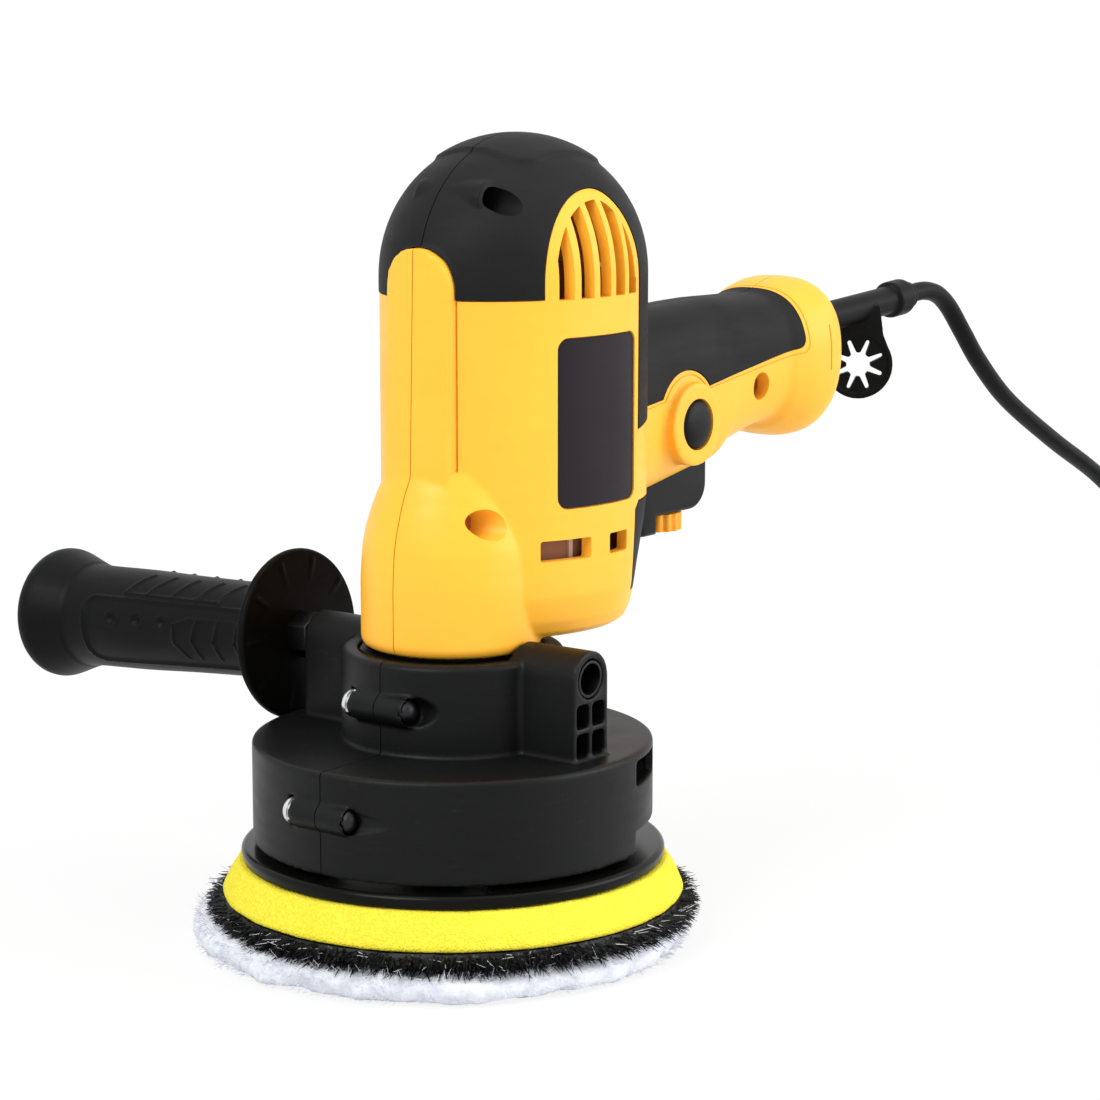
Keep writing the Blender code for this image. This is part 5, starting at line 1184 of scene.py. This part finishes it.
def make_clamp_screws():
    """A dark domed screw head at the near end of each clamp and a bright nut at the far one."""
    head = [(0, 0.0030), (0.0012, 0.0029), (0.0023, 0.0024), (0.0030, 0.0015), (0.0033, 0.0005), (0.0033, 0)]
    head += [(0.0018, 0), (0.0018, -0.0170), (0, -0.0170)]
    cap = [(0, 0.0026), (0.0018, 0.0024), (0.0030, 0.0018), (0.0035, 0.0011), (NUT_CAP_RADIUS, 0.0004)]
    cap += [(NUT_CAP_RADIUS, 0), (0, 0)]
    for end, word in ((-1, "front"), (1, "rear")):
        for name, reach, height in CLAMPS:
            place = Matrix.Translation((end * reach, -0.0077, height)) @ Matrix.Rotation(pi / 2, 4, "X")
            tail = f"_{word}_{name}"
            screw = moved(turned(head, 40), place)
            piece(screw, "clamp_bolt" + tail, "black_steel", "clamp_screw" + tail, slot="bright_steel")
            nut = pin(end * reach, height, NUT_SEAT, NUT_FACE + 0.0004, NUT_RADIUS, 6)
            place = Matrix.Translation((end * reach, NUT_FACE + 0.0002, height))
            nut = join(nut, moved(turned(cap, 40), place @ Matrix.Rotation(-pi / 2, 4, "X")))
            piece(nut, "clamp_nut_cap" + tail, "bright_steel", "clamp_nut" + tail)


# Side handle

GUARD_BACK = GUARD_FACE + 0.0027
HANDLE_START = GUARD_BACK + 0.0033
HANDLE_END = HANDLE_START + HANDLE_LENGTH
HANDLE_NECK = 0.0132
HANDLE_WAIST = 0.0148
HANDLE_FLARE = 0.0190
FLARE_LENGTH = 0.0150
HANDLE_BARE_RADIUS = 0.0100
PATTERN_RADIUS = 0.0140
RELIEF_STEP = 0.0004
PANEL_MIDDLE = (0.0577, -0.0016)
PANEL_HALF = (0.0328, 0.0100)
PANEL_CORNER = 0.0045
PANEL_DEPTH = 0.00030
PANEL_SLOPE = 0.0010
RIM_HEIGHT = 0.00045
DIMPLES = ((0.0362, 0.0024), (0.0458, 0.0024), (0.0558, 0.0024))
DIMPLE_RADIUS = 0.0021
DIMPLE_DEPTH = 0.00090
DIMPLE_RIM_HEIGHT = 0.00026
DIMPLE_RIM_WIDTH = 0.0006
RIDGE_HEIGHT = 0.00044
RIDGE_WIDTH = 0.0007

# Ridges of the grip's pattern: the two ends of each, along the grip from its flared end and around the side
RIDGES = (
    ((0.0395, 0.0100), (0.0450, 0.0184)),
    ((0.0478, 0.0100), (0.0532, 0.0184)),
    ((0.0572, 0.0100), (0.0622, 0.0184)),
    ((0.0668, 0.0100), (0.0715, 0.0184)),
    ((0.0745, 0.0100), (0.0800, 0.0184)),
    ((0.0395, 0.0100), (0.0745, 0.0100)),
    ((0.0600, 0.0022), (0.0660, 0.0042)),
    ((0.0660, 0.0042), (0.0880, 0.0042)),
    ((0.0600, 0.0022), (0.0598, -0.0030)),
    ((0.0598, -0.0030), (0.0640, -0.0085)),
    ((0.0690, 0.0038), (0.0668, -0.0020)),
    ((0.0668, -0.0020), (0.0690, -0.0085)),
    ((0.0770, 0.0038), (0.0752, -0.0020)),
    ((0.0752, -0.0020), (0.0766, -0.0085)),
    ((0.0845, 0.0038), (0.0832, -0.0020)),
    ((0.0832, -0.0020), (0.0842, -0.0085)),
)


def to_segment(place, start, end):
    """Distance of a place from the straight line between two points."""
    across = end - start
    share = max(0, min(1, (place - start).dot(across) / across.length_squared))
    return (place - start - across * share).length


def hump(distance, width):
    """One at no distance, falling smoothly to nought at a width."""
    return eased(max(0, 1 - distance / width))


def relief(place):
    """How far the grip's pattern stands out, at a distance from the flared end and around the side."""
    beyond = Vector((max(0, abs(place.x - PANEL_MIDDLE[0]) - PANEL_HALF[0] + PANEL_CORNER),
                     max(0, abs(place.y - PANEL_MIDDLE[1]) - PANEL_HALF[1] + PANEL_CORNER)))
    inside = PANEL_CORNER - beyond.length
    height = RIM_HEIGHT * hump(abs(inside), RIDGE_WIDTH)
    height -= PANEL_DEPTH * (1 - hump(max(0, inside), PANEL_SLOPE))
    for dimple in DIMPLES:
        away = (place - Vector(dimple)).length
        height -= DIMPLE_DEPTH * hump(away, DIMPLE_RADIUS)
        height += DIMPLE_RIM_HEIGHT * hump(abs(away - DIMPLE_RADIUS), DIMPLE_RIM_WIDTH)
    for start, end in RIDGES:
        height += RIDGE_HEIGHT * hump(to_segment(place, Vector(start), Vector(end)), RIDGE_WIDTH)
    return height


def handle_profile():
    """The grip's outline from the middle of its flared end to its neck, in even steps."""
    end, flare, waist = HANDLE_END, HANDLE_FLARE, HANDLE_WAIST
    outline = [
        (0, end), (flare * 0.60, end - 0.0004), (flare * 0.90, end - 0.0010), (flare * 0.975, end - 0.0020),
        (flare, end - 0.0040), (flare * 0.985, end - FLARE_LENGTH * 0.40),
        (flare * 0.91, end - FLARE_LENGTH * 0.68), (waist + 0.0009, end - FLARE_LENGTH),
        (waist, end - FLARE_LENGTH * 1.30), (0.0145, end - 0.0400),
        (HANDLE_NECK + 0.0006, HANDLE_START + 0.0300), (HANDLE_NECK, HANDLE_START + 0.0015),
    ]
    fine = smooth_through(outline, 60)
    even = [fine[0]]
    for point in fine:
        if (point - even[-1]).length >= RELIEF_STEP:
            even.append(point)
    even.append(Vector((HANDLE_NECK - 0.0004, HANDLE_START + 0.0004)))
    even.append(Vector((HANDLE_NECK - 0.0014, HANDLE_START)))
    return even + [Vector((0, HANDLE_START))]


def make_handle():
    grip = turned(handle_profile(), 220)
    for vertex in grip.data.vertices:
        x, y, z = vertex.co
        radius = hypot(x, y)
        along = HANDLE_END - z
        if radius > HANDLE_BARE_RADIUS and FLARE_LENGTH < along < HANDLE_LENGTH - 0.0015:
            up = atan2(-y, abs(x)) * PATTERN_RADIUS
            grow = 1 + relief(Vector((along, up))) / radius
            vertex.co.x = x * grow
            vertex.co.y = y * grow
    piece(moved(grip, handle_frame(1)), "handle_sleeve", "rubber", "handle_grip", sharp=60)
    bore, hub, hub_face = 0.0043, 0.0100, GUARD_FACE - 0.0006
    profile = [
        (bore, hub_face), (bore, GUARD_BACK + 0.0030), (hub, GUARD_BACK + 0.0030),
        (hub + 0.001, GUARD_BACK + 0.0008),
        (GUARD_RADIUS - 0.0008, GUARD_BACK), (GUARD_RADIUS - 0.0002, GUARD_BACK - 0.0005),
        (GUARD_RADIUS, GUARD_FACE + 0.0013), (GUARD_RADIUS - 0.0002, GUARD_FACE + 0.0005),
        (GUARD_RADIUS - 0.0008, GUARD_FACE), (hub, hub_face),
    ]
    guard = turned(profile, 128, ring=True)
    ribs = []
    for i in range(10):
        high = (GUARD_RADIUS - 0.0022, 0.0006, GUARD_FACE + 0.0010)
        rib = block((hub, -0.0006, GUARD_FACE - 0.0004), high)
        ribs.append(moved(rib, Matrix.Rotation(tau * i / 10, 4, "Z")))
    guard = moulded(join(guard, *ribs), 0.0004, 3)
    guard = moved(guard, handle_frame(1))
    piece(guard, "hand_guard", "deep_black", "handle_guard", slot="black_plastic")
    refined("handle_stud", "handle_thread", "black_steel", 0.0005, slot="steel")
    for _, word in SIDES:
        refined("handle_insert_" + word, "thread_insert_" + word, "black_steel", 0.0003, slot="steel")


# Pad

BUNDLE = 80
WOOL_SHIFT = Matrix.Translation((-0.0019, 0.0025, 0))


def roughened(obj, *layers):
    """Pushes a surface in and out by layers of noise, each a scale and a height."""
    moves = []
    for vertex in obj.data.vertices:
        lift = sum(height * noise.noise(vertex.co * scale) for scale, height in layers)
        moves.append(vertex.co + vertex.normal * lift)
    for vertex, place in zip(obj.data.vertices, moves):
        vertex.co = place
        vertex.co.z = max(vertex.co.z, 0)
    return obj


def even_profile(outline, step):
    """A profile with points added so that none are further apart than a step."""
    points = []
    for first, second in zip(outline, outline[1:]):
        first, second = Vector(first), Vector(second)
        count = max(1, round((second - first).length / step))
        points += [first.lerp(second, i / count) for i in range(count)]
    return points + [Vector(outline[-1])]


def strands(spots, thick, name, finish):
    """Short tapered fibres, each from a spot along a direction, made in small bundles."""
    bundles = []
    for start in range(0, len(spots), BUNDLE):
        bm = bmesh.new()
        for spot, reach in spots[start:start + BUNDLE]:
            turn = Vector((0, 0, 1)).rotation_difference(reach).to_matrix().to_4x4()
            place = Matrix.Translation(spot + reach / 2) @ turn
            bmesh.ops.create_cone(bm, cap_ends=True, segments=3, radius1=thick, radius2=thick * 0.3,
                                  depth=reach.length, matrix=place)
        bundles.append(loose(bm))
    return piece(together(*bundles), name, finish, body="spindle")


def fibres(rng, count, radius, low, high, length, drop, sway):
    """Spots around a rim and the way that a fibre leaves each."""
    spots = []
    for _ in range(count):
        angle = rng.uniform(0, tau)
        out = Vector((cos(angle), sin(angle), 0))
        side = Vector((-out.y, out.x, 0))
        lean = out + side * rng.uniform(-sway, sway) + Vector((0, 0, rng.uniform(*drop)))
        spot = out * radius * rng.uniform(0.985, 1.0) + Vector((0, 0, rng.uniform(low, high)))
        spots.append((spot, lean.normalized() * rng.uniform(*length)))
    return spots


def make_wool():
    radius, thick = WOOL_RADIUS, WOOL_THICK
    outline = [
        (0, thick), (radius * 0.90, thick), (radius * 0.965, thick - 0.0008),
        (radius * 0.995, thick - 0.0024), (radius, thick * 0.45), (radius * 0.985, 0.0012),
        (radius * 0.95, 0), (0, 0),
    ]
    wool = turned(even_profile(outline, 0.0011), 300)
    for vertex in wool.data.vertices:
        angle = atan2(vertex.co.y, vertex.co.x)
        far = (hypot(vertex.co.x, vertex.co.y) / radius) ** 6
        wave = 0.010 * sin(3 * angle + 0.7) + 0.007 * sin(7 * angle) + 0.004 * sin(13 * angle)
        swell = 1 + far * wave
        vertex.co.x *= swell
        vertex.co.y *= swell
    wool = roughened(wool, (95, 0.0011), (260, 0.0008), (620, 0.0004))
    piece(moved(wool, WOOL_SHIFT), "wool_face", "wool", "wool_pad", body="spindle", sharp=80)
    rng = random.Random(11)
    fuzz = fibres(rng, 3200, radius * 0.995, low=0.0006, high=0.0072, length=(0.0012, 0.0026),
                  drop=(-0.5, 0.5), sway=0.9)
    strays = fibres(rng, 220, radius * 0.985, low=0.0062, high=0.0082, length=(0.0022, 0.0040),
                    drop=(0.4, 1.6), sway=0.8)
    moved(strands(fuzz + strays, 0.00010, "wool_fuzz", "wool"), WOOL_SHIFT)


def make_hooks():
    """The black hook face, whose rim bristles with stiff fibres."""
    rng = random.Random(5)
    low, high, radius, edge = HOOK_Z, HOOK_Z + HOOK_THICK, HOOK_RADIUS, 0.0010
    outline = [
        (PAD_BORE, high), (radius - 0.0008, high), (radius, high - edge), (radius, low + edge),
        (radius - 0.0008, low), (PAD_BORE, low), (PAD_BORE, high),
    ]
    base = turned(even_profile(outline, 0.0015)[:-1], 200, ring=True)
    piece(roughened(base, (900, 0.0004)), "hook_disc", "hook_fibre", "hook_ring", body="spindle")
    spots = fibres(rng, 4200, radius, low, high, length=(0.0032, 0.0052), drop=(-0.75, 0.15), sway=0.5)
    strands(spots, 0.00022, "hook_bristle", "hook_fibre")
    strays = fibres(rng, 150, 0.0635, low, high, length=(0.0034, 0.0058), drop=(-0.6, 0.6), sway=0.9)
    strands(strays, 0.00013, "hook_strays", "wool")


def make_foam():
    low, high = FOAM_Z, FOAM_Z + FOAM_THICK
    outline = [
        (PAD_BORE, high), (0.0578, high), (0.0584, high - 0.0003), (0.0587, high - 0.0010),
        (0.0608, low + 0.0052), (0.0625, low + 0.0012), (0.0623, low + 0.0004), (0.0615, low),
        (PAD_BORE, low), (PAD_BORE, high),
    ]
    foam = turned(even_profile(outline, 0.0010)[:-1], 320, ring=True)
    foam = roughened(foam, (130, 0.00022), (900, 0.00012))
    piece(foam, "foam_disc", "foam", "foam_pad", body="spindle", sharp=70)


def make_backing_plate():
    low, high, top, radius = PLATE_Z, PLATE_Z + PLATE_THICK, PLATE_Z + 0.0105, PLATE_RADIUS
    profile = [(0.0043, top), (0.0126, top), (0.0130, top - 0.0004), (0.0145, high)]
    profile += arc((radius - 0.0015, high - 0.0015), 0.0015, pi / 2, 0, 8)
    profile += [(radius - 0.0004, low + 0.0004), (radius - 0.0010, low)]
    profile += [(0.0095, low), (0.0095, low + 0.0016), (0.0043, low + 0.0016)]
    disc = turned(profile, 180, ring=True)
    ribs = []
    for i in range(6):
        outline = [(0.0110, high - 0.0020), (0.0460, high - 0.0020), (0.0460, high), (0.0110, high + 0.0030)]
        rib = prism(outline, -0.0010, 0.0010, TO_SIDE)
        ribs.append(moved(rib, Matrix.Rotation(tau * (i + 0.5) / 6, 4, "Z")))
    piece(join(disc, *ribs), "pad_plate", "gloss_black", "backing_plate", body="spindle")


# What stays as it is gets its finish by name

OTHER_FINISHES = {
    "gear_case": "black_plastic",
    "housing_screw_top": "black_steel",
    # The nose and grip screws are painted red-brown as painted shade: it stands for the red-orange light
    # that the yellow walls throw around inside their wells.
    "housing_screw_nose": "red_brown",
    "housing_screw_grip": "red_brown",
}


def paint_nodes():
    for name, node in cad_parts.items():
        for slot in node.material_slots:
            slot.material = FINISHES[OTHER_FINISHES.get(name) or slot.material.name.split(".")[0]]


paint_nodes()
make_stage()
make_cord()
make_housing()
make_trigger()
make_dial()
make_lock_button()
make_sleeve()
make_shroud()
make_handle()
make_backing_plate()
make_foam()
make_hooks()
make_wool()
